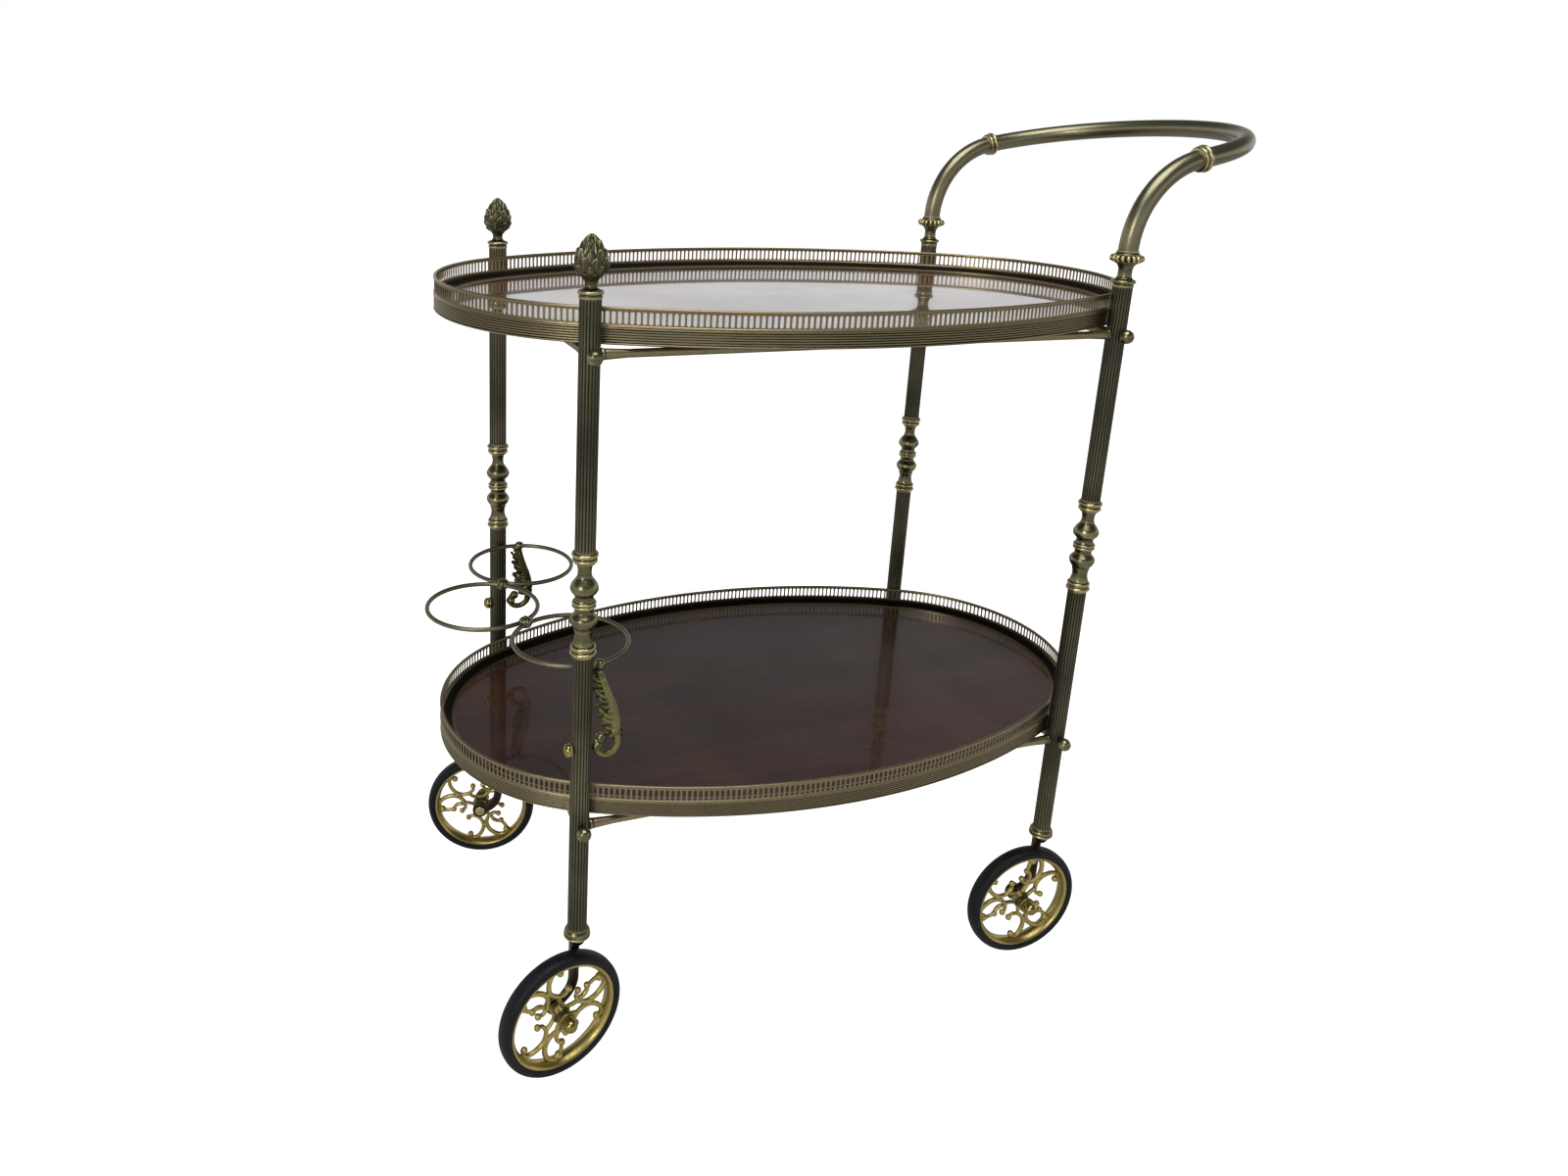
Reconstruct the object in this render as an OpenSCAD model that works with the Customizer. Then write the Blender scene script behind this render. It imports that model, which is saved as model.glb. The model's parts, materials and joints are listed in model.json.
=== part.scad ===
// Two-tier oval drinks trolley: four turned legs, two galleried trays, a bow
// handle, a three-ring bottle holder and four single-arm swivel castors.
// Millimetres, +Z up, +X towards the handle, origin on the floor below the
// middle of the overall length and width.

/* [Trays] */
// Length of each oval tray over its band
tray_length = 678; // [560:1:860]
// Width of each oval tray over its band
tray_width = 410; // [345:1:500]
// Radius of the two end arcs of the oval
tray_end_r = 163; // [140:1:168]
// Height of the reeded brass band
band_h = 14; // [11:0.5:20]
// Thickness of the band's wall
band_wall = 2; // [1.5:0.1:3]
// Width of the lip that the panel rests on
band_lip = 16; // [12:0.5:24]
// Thickness of the lip and of the gallery's foot
sheet_t = 1.2; // [0.8:0.1:2]
// Depth of the panel's face below the top of the band
panel_drop = 4; // [2:0.5:5]
// Height of the pierced gallery, from band to top of rail
gallery_h = 15.5; // [12:0.5:24]
// Width of the gallery's flat foot on the panel
gallery_foot = 13; // [10:0.5:18]
// Diameter of the rolled rail on top of the gallery
rail_d = 2.8; // [2:0.1:4]
// Floor to the underside of the lower tray
lower_tray_z = 247; // [225:1:300]
// Floor to the underside of the upper tray
upper_tray_z = 660; // [600:1:760]

/* [Legs] */
// Distance between the legs along the trolley
leg_span = 500; // [420:1:600]
// Outside diameter of the leg tubes
tube_d = 17.4; // [15:0.1:22]
// Wall of the leg and handle tubes
tube_wall = 1; // [0.8:0.1:2]
// Gap between a leg and the tray's band
leg_gap = 0.3; // [0.2:0.1:1]
// Floor to the middle of the turned baluster
baluster_z = 448; // [400:1:500]
// Length of the baluster between its tubes
baluster_h = 92; // [80:1:110]
// Height of the foot collar
foot_h = 11; // [9:0.5:15]
// Height of the leg tubes' tops above the upper tray's underside
leg_top_rise = 37; // [33:1:60]
// Length of the spigots inside the tubes
spigot_l = 14; // [10:1:20]

/* [Rods] */
// Diameter of the rods under the trays
rod_d = 7; // [5:0.5:9]
// Depth of the rods' axes below the tray
rod_drop = 6.5; // [6:0.5:10]
// Diameter of the studs through the legs
stud_d = 4; // [3:0.5:5]
// Diameter of the ball nuts
nut_d = 12.6; // [10:0.2:15]

/* [Handle] */
// Height of the turned handle socket on a right leg
socket_h = 32; // [28:1:40]
// Bend radius of the swan necks
neck_r = 82; // [70:1:100]
// Rise of the handle bow from level, in degrees
bow_rise = 11; // [5:1:20]
// Reach of the bow beyond its collars
bow_reach = 133; // [110:1:150]
// Length of the ring collars on the handle
collar_l = 9; // [7:0.5:14]

/* [Bottle holder] */
// Radius of a bottle ring to the middle of its wire
ring_r = 51; // [48:0.5:56]
// Diameter of the ring wire
wire_d = 3.9; // [3:0.1:5]
// Height of the rings above the lower tray's underside
ring_rise = 137; // [115:1:170]
// Distance of the outer rings' centres from the left legs, inwards
ring_inset = 9; // [0:1:20]
// Half the spacing of the two outer rings
ring_half_gap = 90; // [72:1:98]
// Diameter of the balls that join the rings
joint_ball_d = 12; // [11:0.5:14]
// Distance between the wires of two rings where a ball joins them
wire_gap = 5.6; // [5.2:0.1:6]
// Height of the bracket bolts above the lower tray's underside
bracket_rise = 68; // [55:1:90]
// Thickness of the scroll brackets
bracket_t = 6; // [5.5:0.5:8]
// Distance of the leaf's tip from the leg's surface
leaf_tip = 11; // [8:0.5:16]

/* [Castors] */
// Diameter of the wheels over their tyres
wheel_d = 120; // [100:1:150]
// Width of the rubber tyre
tyre_w = 17; // [14:0.5:22]
// Radial height of the tyre outside the rim
tyre_t = 8.5; // [6:0.5:12]
// Depth of the brass rim
rim_w = 12; // [9:0.5:15]
// Radial thickness of the brass rim
rim_t = 4.5; // [3:0.5:7]
// Distance of the wheel's axle behind the swivel axis
trail = 20; // [12:1:30]
// Distance of the wheel's middle plane from the swivel axis
wheel_offset = 8; // [7:0.5:14]
// Diameter of the axle
axle_d = 6; // [5:0.5:8]
// Diameter of the swivel stem
stem_d = 9; // [8:0.5:11]
// Thickness of the castor's arm
arm_t = 6; // [4:0.5:8]
// Height of the dark cone between the foot collar and the arm
cone_h = 5; // [4:0.5:8]
// Swivel angle at rest of the near left castor, in degrees
swivel_nl = 14; // [-60:1:60]
// Swivel angle at rest of the near right castor, in degrees
swivel_nr = -3; // [-60:1:60]
// Swivel angle at rest of the far left castor, in degrees
swivel_fl = -17; // [-60:1:60]
// Swivel angle at rest of the far right castor, in degrees
swivel_fr = 8; // [-60:1:60]

/* [Hidden] */
LEGS = ["nl", "nr", "fl", "fr"];
$fn = 72;
brass = "#8f7d4a";
old_brass = "#6f6647";
mahogany = "#3a1c12";
steel = "#2e2b27";
rubber = "#1b1c1f";
fit = 0.05;   // running clearance of the swivel stems and axles
slip = 0.1;   // clearance of spigots and studs in their holes
seat = 0.3;   // gap between turning faces

// The oval: two end arcs and two side arcs that meet tangentially
end_cx = tray_length / 2 - tray_end_r;
side_c = (pow(end_cx, 2) - pow(tray_width / 2 - tray_end_r, 2)) / (tray_width - 2 * tray_end_r);
side_r = tray_width / 2 + side_c;
join_angle = atan2(side_c, end_cx);

tube_r = tube_d / 2;
bore_r = tube_r - tube_wall;
leg_x = leg_span / 2;
leg_off = tube_r + leg_gap;
on_end_arc = leg_x - end_cx > (tray_end_r + leg_off) * cos(join_angle);
leg_y = on_end_arc ? sqrt(pow(tray_end_r + leg_off, 2) - pow(leg_x - end_cx, 2))
    : sqrt(pow(side_r + leg_off, 2) - pow(leg_x, 2)) - side_c;
leg_top = upper_tray_z + leg_top_rise;
baluster_top = baluster_z + baluster_h / 2;
baluster_foot = baluster_z - baluster_h / 2;
wheel_r = wheel_d / 2;
rim_r = wheel_r - tyre_t;
cone_top = wheel_d + 1.5 + cone_h;
foot_z = cone_top + seat;
neck_turn = 90 - bow_rise;
neck_z = leg_top + socket_h;
neck_end = [neck_r * (1 - cos(neck_turn)), neck_r * sin(neck_turn)];
bow_r = (pow(leg_y, 2) + pow(bow_reach, 2)) / (2 * bow_reach);
bow_kink = asin((bow_r - bow_reach) / bow_r);
bow_turn = 90 - bow_kink - asin((tube_r * tan(abs(bow_kink)) + slip) / bow_r);
ring_z = lower_tray_z + ring_rise;
bolt_z = lower_tray_z + bracket_rise;
ring_step = sqrt(pow(2 * ring_r + wire_gap, 2) - pow(ring_half_gap, 2));
leaf_joint_h = joint_ball_d - 4;
leaf_turn = asin((tube_r + leaf_tip - ring_inset) / (ring_r + 1));
leaf_joint_y = ring_half_gap + (ring_r + 1) * cos(leaf_turn);
leaf_rise = ring_z - bolt_z - leaf_joint_h / 2;
bracket_lean = atan((leg_y - leaf_joint_y) / leaf_rise);

// Middle of the trays, placed so that the origin is the middle of the length
left_end = -leg_x + ring_inset - ring_step - ring_r - wire_d / 2;
right_end = leg_x + neck_end[0] + bow_reach * cos(bow_rise) + tube_r;
mid_x = -(left_end + right_end) / 2;

function side_x(leg) = mid_x + (leg[1] == "l" ? -leg_x : leg_x);
function side_y(leg) = leg[0] == "n" ? -leg_y : leg_y;
function swivel(leg) = leg == "nl" ? swivel_nl : leg == "nr" ? swivel_nr
    : leg == "fl" ? swivel_fl : swivel_fr;

// Moves its children to a leg's axis
module on_leg(leg) translate([side_x(leg), side_y(leg), 0]) children();

// The flat oval, drawn in by a distance from the band's outside: the right-hand
// end arc and the upper side arc, then the same two turned half round
end_steps = 42;
side_steps = 36;
function oval_half(inset) = concat(
    [for (i = [0 : end_steps - 1]) let (a = join_angle * (2 * i / end_steps - 1))
        [end_cx + (tray_end_r - inset) * cos(a), (tray_end_r - inset) * sin(a)]],
    [for (i = [0 : side_steps - 1]) let (a = join_angle + (180 - 2 * join_angle) * i / side_steps)
        [(side_r - inset) * cos(a), (side_r - inset) * sin(a) - side_c]]);
module oval(inset) polygon(concat(oval_half(inset), [for (p = oval_half(inset)) -p]));

// A level wall that follows the oval: inset is the distance in from the band's outside
module oval_wall(z, height, inset, width) translate([mid_x, 0, z]) linear_extrude(height)
    difference() {
        oval(inset);
        oval(inset + width);
    }

// Band: upright wall with a lip turned in below the panel
module tray_band(z) color(old_brass) {
    oval_wall(z, band_h, 0, band_wall);
    oval_wall(z, sheet_t, 0, band_lip);
}

// Panel: veneered board that drops into the band and rests on its lip, rebated round
// its edge to take the gallery's ledge
panel_gap = 0.3;
panel_rebate = sheet_t;
module tray_panel(z) color(mahogany) translate([mid_x, 0, z + sheet_t]) {
    top = band_h - panel_drop - sheet_t;
    linear_extrude(top - panel_rebate) oval(band_wall + panel_gap);
    linear_extrude(top) oval(gallery_foot + panel_gap);
}

// Gallery: foot on the band's top, skirt and ledge in the panel's rebate, upright
// strip and top rail
module tray_gallery(z) color(brass) {
    foot = z + band_h;
    skirt = band_wall + panel_gap;
    oval_wall(foot, sheet_t, 0, skirt + sheet_t);
    ledge = foot - panel_drop - panel_rebate;
    oval_wall(ledge, foot - ledge + sheet_t / 2, skirt, sheet_t);
    oval_wall(ledge, sheet_t, skirt, gallery_foot - skirt);
    oval_wall(foot, gallery_h - rail_d / 2, (rail_d - sheet_t) / 2, sheet_t);
    oval_wall(foot + gallery_h - rail_d, rail_d, 0, rail_d);
}

// A turned piece: [height, radius] points, with an optional bore
module turned(points) rotate_extrude()
    polygon(concat([[0, points[0][0]]], [for (p = points) [p[1], p[0]]],
        [[0, points[len(points) - 1][0]]]));

// A rounded ring round a turned piece, its middle at height z
module bead(z, r, h) translate([0, 0, z]) rotate_extrude() {
    translate([r - h / 2, 0]) circle(h / 2, $fn = 24);
    translate([0, -h / 2]) square([r - h / 2, h]);
}

// Spigot that plugs into a tube, up or down from height z
module spigot(z, up) translate([0, 0, up ? z - slip : z - spigot_l])
    cylinder(h = spigot_l + slip, r = bore_r - slip);

module leg_tube(leg, z0, z1) color(old_brass) on_leg(leg) difference() {
    translate([0, 0, z0]) cylinder(h = z1 - z0, r = tube_r);
    translate([0, 0, z0 - 1]) cylinder(h = z1 - z0 + 2, r = bore_r);
    for (z = [lower_tray_z, upper_tray_z]) translate([0, 0, z - rod_drop])
        rotate([90, 0, 0]) cylinder(h = tube_d + 2, d = stud_d + 2 * slip, center = true);
    if (leg[1] == "l") translate([0, 0, bolt_z]) rotate([0, 90, 0])
        cylinder(h = tube_d + 2, d = stud_d + 2 * slip, center = true);
}

// Half of the baluster above its middle ring, as shares of the half length
half = baluster_h / 2;
BALUSTER = [
    [0.10, 7.4], [0.16, 7.6], [0.21, 9.4], [0.28, 11], [0.36, 10.6], [0.40, 9.2], [0.46, 6.8],
    [0.54, 5.5], [0.68, 5.5], [0.76, 6.6], [0.80, 8], [1, 8.9],
];
module baluster(leg) color(brass) on_leg(leg) translate([0, 0, baluster_z]) {
    for (s = [0, 1]) mirror([0, 0, s]) {
        turned(concat([[0, 7.4]], [for (p = BALUSTER) [p[0] * half, p[1]]]));
        bead(0.84 * half, 10.2, 4);
        bead(0.94 * half, 10.9, 4.6);
        spigot(half, true);
    }
    bead(0, 10, 6);
}

// Foot collar: cup on the end of the lower tube, bored for the castor's stem
module foot_collar(leg) color(brass) on_leg(leg) difference() {
    union() {
        turned([[foot_z, 9.2], [foot_z + 0.25 * foot_h, 10.6], [foot_z + 0.45 * foot_h, 11.8],
            [foot_z + 0.65 * foot_h, 11.4], [foot_z + foot_h, 9.2]]);
        spigot(foot_z + foot_h, true);
    }
    translate([0, 0, foot_z - 1]) cylinder(h = foot_h + spigot_l + 2, r = stem_d / 2 + fit);
}

// Finial: small collar, neck and a pine cone
cone_z = leg_top + 16;
module finial(leg) color(brass) on_leg(leg) {
    turned([[leg_top, 9.2], [leg_top + 2, 9.2], [leg_top + 3, 8], [leg_top + 6, 8],
        [leg_top + 7.5, 5.2], [leg_top + 13, 4.9], [cone_z, 7.5], [cone_z + 3, 10.8],
        [cone_z + 8, 12.8], [cone_z + 12, 12.9], [cone_z + 18, 11.2], [cone_z + 24, 7.8],
        [cone_z + 29, 3.8], [cone_z + 32, 1.2]]);
    bead(leg_top + 4.5, 9.9, 3.4);
    spigot(leg_top, false);
}

// Handle socket: collars and neck between a right leg and its swan neck
module handle_socket(leg) color(brass) on_leg(leg) {
    turned([[leg_top, 9.2], [leg_top + 2, 9.2], [leg_top + 3, 8], [leg_top + 6, 8],
        [leg_top + 8, 6.4], [leg_top + 17, 6.2], [leg_top + 21, 8.4], [leg_top + 22, 11],
        [neck_z - 3, 11], [neck_z - 2.5, 9.6], [neck_z, 9.6]]);
    bead(leg_top + 4.5, 10.2, 3.4);
    bead(neck_z - 6.5, 14.8, 5.6);
    spigot(leg_top, false);
    translate([0, 0, neck_z - slip]) cylinder(h = 3, r = bore_r - 2 * slip);
}

// Swan neck: curved tube from the socket to the ring collar
module swan_neck(leg) color(brass) on_leg(leg) translate([neck_r, 0, neck_z])
    rotate([90, 0, 0]) rotate(180 - neck_turn)
        rotate_extrude(angle = neck_turn) translate([neck_r, 0]) difference() {
            circle(tube_r);
            circle(bore_r);
        }

// Turns its children to the end of a swan neck, x along the tube
module at_bow_foot(y) translate([mid_x + leg_x + neck_end[0], y, neck_z + neck_end[1]])
    rotate([0, -bow_rise, 0]) children();

// Ring collar: sleeve round the joint of neck and bow, with two beads
sleeve_gap = 0.95;
module ring_collar(leg) color(brass) at_bow_foot(side_y(leg)) rotate([0, 90, 0]) difference() {
    union() {
        cylinder(h = collar_l, r = tube_r + 1.7, center = true);
        bead(-collar_l * 0.22, tube_r + 2.8, 3.6);
        bead(collar_l * 0.22, tube_r + 3.4, 4.2);
    }
    cylinder(h = 2 * collar_l, r = tube_r + sleeve_gap, center = true);
}

// Bow: one wide arc between the ring collars, in a rising plane
module handle_bow() color(brass) at_bow_foot(0) translate([bow_reach - bow_r, 0, 0])
    rotate(-bow_turn) rotate_extrude(angle = 2 * bow_turn, $fn = 144)
        translate([bow_r, 0]) circle(tube_r);

// Rods: two along the tray and two across it, with tapered ferrules
module ferruled_rod(length, ferrule) {
    cylinder(h = length, d = rod_d, center = true);
    for (s = [0, 1]) mirror([0, 0, s]) translate([0, 0, length / 2 - ferrule])
        cylinder(h = ferrule, d1 = rod_d, d2 = rod_d + 2.4);
}
module rods(z) color(old_brass) translate([mid_x, 0, z - rod_drop]) {
    for (s = [-1, 1]) translate([0, s * leg_y, 0]) rotate([0, 90, 0])
        ferruled_rod(leg_span - tube_d - 2 * seat, 9);
    for (s = [-1, 1]) translate([s * leg_x, 0, 0]) rotate([90, 0, 0]) difference() {
        ferruled_rod(2 * leg_y - tube_d - 2 * seat, 9);
        for (e = [-1, 1]) translate([0, 0, e * (leg_y - tube_r - stud_grip / 2 + 1)])
            cylinder(h = stud_grip + 2, d = stud_d + 2 * slip, center = true);
    }
}

// Ball nut with its stud, which runs through the leg along +Z of its own frame
stud_grip = 8;
module ball_nut(reach) {
    translate([0, 0, tube_r + slip + nut_d * 0.36]) intersection() {
        sphere(d = nut_d, $fn = 32);
        translate([0, 0, nut_d * 0.14]) cube(nut_d, center = true);
    }
    translate([0, 0, tube_r + slip]) cylinder(h = 1.6, d = nut_d * 0.8);
    translate([0, 0, -tube_r - reach]) cylinder(h = tube_d + reach + 2, d = stud_d);
}
module nuts(z) color(brass) for (leg = LEGS) on_leg(leg) translate([0, 0, z - rod_drop])
    rotate([leg[0] == "n" ? 90 : -90, 0, 0]) ball_nut(stud_grip - 1);

// Saddles: blocks between the cross rods and the tray's lip
saddle = [9, 13];
module saddles(z) color(old_brass) {
    lift = rod_drop - rod_d / 2;
    y = leg_y - tube_r - band_lip - 3;
    for (sx = [-1, 1], sy = [-1, 1])
        translate([mid_x + sx * leg_x - saddle[0] / 2, sy * y - saddle[1] / 2, z - lift])
            cube([saddle[0], saddle[1], lift]);
}

// Bottle rings, in one level plane beside the left legs
function ring_centre(i) = [mid_x - leg_x + ring_inset - (i == 0 ? ring_step : 0),
    i * ring_half_gap, ring_z];
module bottle_ring(i) color(old_brass) translate(ring_centre(i)) rotate_extrude($fn = 96)
    translate([ring_r, 0]) circle(wire_d / 2, $fn = 24);

// Joints of the rings to each other and to the scroll brackets, each grooved
// for its wires, which are nearly straight inside it
module ring_joints() color(brass) {
    for (s = [-1, 1]) translate((ring_centre(0) + ring_centre(s)) / 2)
        rotate(atan2(s * ring_half_gap, ring_step)) difference() {
            cylinder(h = joint_ball_d - 3, d = joint_ball_d, center = true);
            for (e = [-1, 1]) translate([e * wire_gap / 2, 0, 0]) rotate([90, 0, 0])
                cylinder(h = 20, d = wire_d + 0.6, center = true);
        }
    for (s = [0, 1]) mirror([0, s, 0]) translate(ring_centre(1)) rotate(90 - leaf_turn)
        translate([ring_r + 1, 0, 0]) difference() {
            cylinder(h = leaf_joint_h, d = joint_ball_d - 3, center = true);
            translate([-1, 0, 0]) rotate([90, 0, 0])
                cylinder(h = 20, d = wire_d + 0.6, center = true);
        }
}

// Scroll bracket: a curl at the leg, and a leaf that rises from it to the ring.
// The outline is drawn with x out from the leg's surface and y up from the bolt
curl_r = 12.5;
curl_t = 4.4;
leaf_h = (leaf_rise - 1.2) / cos(bracket_lean);
function leaf_edge() = [for (p = [[24.5, 0.1], [25.5, 0.32], [20, 0.62], [leaf_tip + 2.5, 1],
    [leaf_tip - 2.5, 1], [7, 0.84], [3, 0.78], [8, 0.68], [5, 0.58], [1.5, 0.52], [9, 0.43],
    [6, 0.34], [17, 0.32], [20, 0.1]]) [p[0], p[1] * leaf_h]];
module leaf_outline() {
    polygon(leaf_edge());
    translate([seat + curl_r, 5]) difference() {
        circle(curl_r);
        circle(curl_r - curl_t);
        translate([-curl_r * 2, 0]) square([curl_r * 2.4, curl_r * 2]);
    }
    translate([5.6, 0]) circle(5.2);
}
module scroll_bracket(leg) color(brass) on_leg(leg) translate([0, 0, bolt_z])
    rotate([(leg[0] == "n" ? -1 : 1) * bracket_lean, 0, 0]) rotate([90, 0, 0])
        translate([tube_r, 0, 0]) difference() {
            translate([0, 0, -bracket_t / 2]) linear_extrude(bracket_t) leaf_outline();
            rotate([0, 90, 0]) cylinder(h = 11, d = stud_d + 2 * slip, center = true);
        }

module bracket_bolts() color(brass) for (leg = ["nl", "fl"]) on_leg(leg)
    translate([0, 0, bolt_z]) rotate([0, -90, 0]) ball_nut(4);

// Castor parts, in a frame with the swivel axis at the origin, the wheel's
// outer side to -Y and the trail to -X; far castors are mirrored
module on_castor(leg) on_leg(leg) rotate(swivel(leg))
    mirror([0, leg[0] == "f" ? 1 : 0, 0]) children();
module on_wheel(leg) on_castor(leg) translate([-trail, -wheel_offset, wheel_r])
    rotate([90, 0, 0]) children();

arm_back = tyre_w / 2 - wheel_offset + 1 + arm_t;
arm_w = 9;
boss_r = 8.5;
module castor_arm(leg) color(steel) on_castor(leg) {
    // stem, cone and the round shoulder that carries the arm
    translate([0, 0, cone_top - 1]) cylinder(h = foot_h + spigot_l - 1, d = stem_d);
    translate([0, 0, cone_top - cone_h]) cylinder(h = cone_h, r1 = 7, r2 = 8.8);
    difference() {
        translate([0, arm_back, 0]) rotate([90, 0, 0]) linear_extrude(arm_t) {
            bend = trail + 2;
            translate([-arm_w / 2, wheel_r + bend])
                square([arm_w, cone_top - cone_h - wheel_r - bend + 1]);
            translate([-bend, wheel_r + bend]) difference() {
                circle(bend + arm_w / 2);
                circle(bend - arm_w / 2);
                translate([-2 * bend, -2 * bend]) square([2 * bend, 4 * bend]);
                translate([-2 * bend, 0]) square([4 * bend, 2 * bend]);
            }
            translate([-trail, wheel_r]) circle(boss_r);
        }
        translate([-trail, 0, wheel_r]) rotate([90, 0, 0])
            cylinder(h = 60, r = axle_d / 2 + fit, center = true);
    }
}

// Axle: head behind the arm, shaft, and acorn nut outside the hub
hub_front = 15;
hub_back = tyre_w / 2 + 1 - seat;
module axle(leg) color(brass) on_wheel(leg) {
    back = -(wheel_offset + arm_back);
    translate([0, 0, back - 2.5]) cylinder(h = 2.4, d = axle_d + 5);
    translate([0, 0, back - 0.2]) cylinder(h = hub_front - back + 1, d = axle_d);
    translate([0, 0, hub_front + seat]) turned([[0, 6], [1.5, 6.2], [3, 5.8], [5, 5.6],
        [8, 4.9], [10, 3.4], [11, 1.2]]);
}

// Wheel: channel rim, hub and three spokes of paired scrolls
spokes = 3;
scroll_r = 13;
scroll_t = 3.2;
scroll_d = 5;
spoke_x = sqrt(pow(rim_r - rim_t, 2) - pow(scroll_r + scroll_t, 2)) - scroll_r + 0.6;
module wheel(leg) color(brass) on_wheel(leg) {
    difference() {
        translate([0, 0, -rim_w / 2]) cylinder(h = rim_w, r = rim_r, $fn = 120);
        translate([0, 0, -rim_w]) cylinder(h = 2 * rim_w, r = rim_r - rim_t, $fn = 120);
    }
    difference() {
        union() {
            turned([[-hub_back, 7], [-2, 7.6], [2, 8.6], [7, 7.2], [hub_front, 6]]);
            translate([0, 0, -scroll_d / 2]) linear_extrude(scroll_d)
                for (a = [0 : 360 / spokes : 359]) rotate(a) spoke();
        }
        cylinder(h = 4 * hub_front, r = axle_d / 2 + fit, center = true);
    }
}
// One spoke: a short stem and two C scrolls back to back, a ball at each end
module spoke() {
    translate([6, -1.6]) square([spoke_x - 6, 3.2]);
    for (s = [0, 1]) mirror([0, s]) translate([spoke_x, scroll_r + 1]) {
        difference() {
            circle(scroll_r + scroll_t / 2);
            circle(scroll_r - scroll_t / 2);
            translate([-2 * scroll_r, scroll_r * 0.3]) square(4 * scroll_r);
        }
        for (e = [-1, 1]) translate([e * (scroll_r - 2.2), scroll_r * 0.34]) circle(3, $fn = 24);
    }
}

// Tyre: round-shouldered rubber ring on the rim
tyre_bite = 0.1;
module tyre(leg) color(rubber) on_wheel(leg) rotate_extrude($fn = 120) difference() {
    translate([rim_r + tyre_bite, 0]) {
        shoulder = tyre_t - tyre_bite;
        translate([0, -tyre_w / 2]) square([shoulder / 2, tyre_w]);
        translate([0, -tyre_w / 2 + shoulder / 2]) square([shoulder, tyre_w - shoulder]);
        for (s = [-1, 1]) translate([shoulder / 2, s * (tyre_w - shoulder) / 2])
            circle(shoulder / 2, $fn = 32);
    }
    translate([0, -wheel_r]) square([rim_r + tyre_bite, wheel_d]);
}

tray_band(upper_tray_z);  // upper_band
tray_gallery(upper_tray_z);  // upper_gallery
tray_panel(upper_tray_z);  // upper_panel
tray_band(lower_tray_z);  // lower_band
tray_gallery(lower_tray_z);  // lower_gallery
tray_panel(lower_tray_z);  // lower_panel
handle_bow();
rods(upper_tray_z);  // upper_rods
rods(lower_tray_z);  // lower_rods
nuts(upper_tray_z);  // upper_nuts
nuts(lower_tray_z);  // lower_nuts
saddles(upper_tray_z);  // upper_saddles
saddles(lower_tray_z);  // lower_saddles
bottle_ring(-1);  // bottle_ring_near
bottle_ring(0);  // bottle_ring_middle
bottle_ring(1);  // bottle_ring_far
ring_joints();
scroll_bracket("nl");  // scroll_bracket_near
scroll_bracket("fl");  // scroll_bracket_far
bracket_bolts();
for (leg = LEGS) {
    leg_tube(leg, baluster_top, leg_top);
    baluster(leg);
    leg_tube(leg, foot_z + foot_h, baluster_foot);
    foot_collar(leg);
    castor_arm(leg);
    axle(leg);
    wheel(leg);
    tyre(leg);
}
for (leg = ["nl", "fl"]) finial(leg);
for (leg = ["nr", "fr"]) {
    handle_socket(leg);
    swan_neck(leg);
    ring_collar(leg);
}
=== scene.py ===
import json

import bmesh
import bpy
import numpy as np
from mathutils import Matrix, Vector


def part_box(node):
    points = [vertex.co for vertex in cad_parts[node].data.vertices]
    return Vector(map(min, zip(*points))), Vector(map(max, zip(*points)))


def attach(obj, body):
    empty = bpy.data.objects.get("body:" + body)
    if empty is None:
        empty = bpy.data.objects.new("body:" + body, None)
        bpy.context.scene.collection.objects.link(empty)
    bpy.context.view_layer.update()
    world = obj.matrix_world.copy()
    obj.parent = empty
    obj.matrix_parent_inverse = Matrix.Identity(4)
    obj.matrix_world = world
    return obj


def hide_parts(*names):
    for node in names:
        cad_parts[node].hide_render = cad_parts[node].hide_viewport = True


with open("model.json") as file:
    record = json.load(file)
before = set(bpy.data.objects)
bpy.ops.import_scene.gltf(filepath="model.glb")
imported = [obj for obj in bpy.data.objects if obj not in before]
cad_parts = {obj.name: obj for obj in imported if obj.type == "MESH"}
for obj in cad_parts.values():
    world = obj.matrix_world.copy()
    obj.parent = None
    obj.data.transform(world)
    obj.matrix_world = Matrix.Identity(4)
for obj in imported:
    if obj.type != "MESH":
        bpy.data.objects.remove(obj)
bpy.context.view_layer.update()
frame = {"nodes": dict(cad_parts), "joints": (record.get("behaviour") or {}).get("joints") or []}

# ---------------------------------------------------------------- studio
# A white floor in a white room: bright walls and a dim ceiling in reflections, one
# large overhead softbox and a smaller one at the left, a camera level with the handle.

FLOOR_HALF = 9.0
floor_mesh = bpy.data.meshes.new("studio_floor")
floor_mesh.from_pydata([(-FLOOR_HALF, -FLOOR_HALF, 0), (FLOOR_HALF, -FLOOR_HALF, 0),
                        (FLOOR_HALF, FLOOR_HALF, 0), (-FLOOR_HALF, FLOOR_HALF, 0)],
                       [], [(0, 1, 2, 3)])
floor = bpy.data.objects.new("studio_floor", floor_mesh)
bpy.context.scene.collection.objects.link(floor)


def add(tree, kind, settings=(), **inputs):
    """A shader node. Settings are its properties; inputs are its sockets by name, or by
    number after an underscore, each a plain value or another node's output."""
    node = tree.nodes.new("ShaderNode" + kind)
    for key, value in dict(settings).items():
        setattr(node, key, value)
    for key, value in inputs.items():
        socket = node.inputs[int(key[1:]) if key[0] == "_" else key.replace("_", " ")]
        if isinstance(value, bpy.types.NodeSocket):
            tree.links.new(value, socket)
        else:
            socket.default_value = value
    return node


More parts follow.
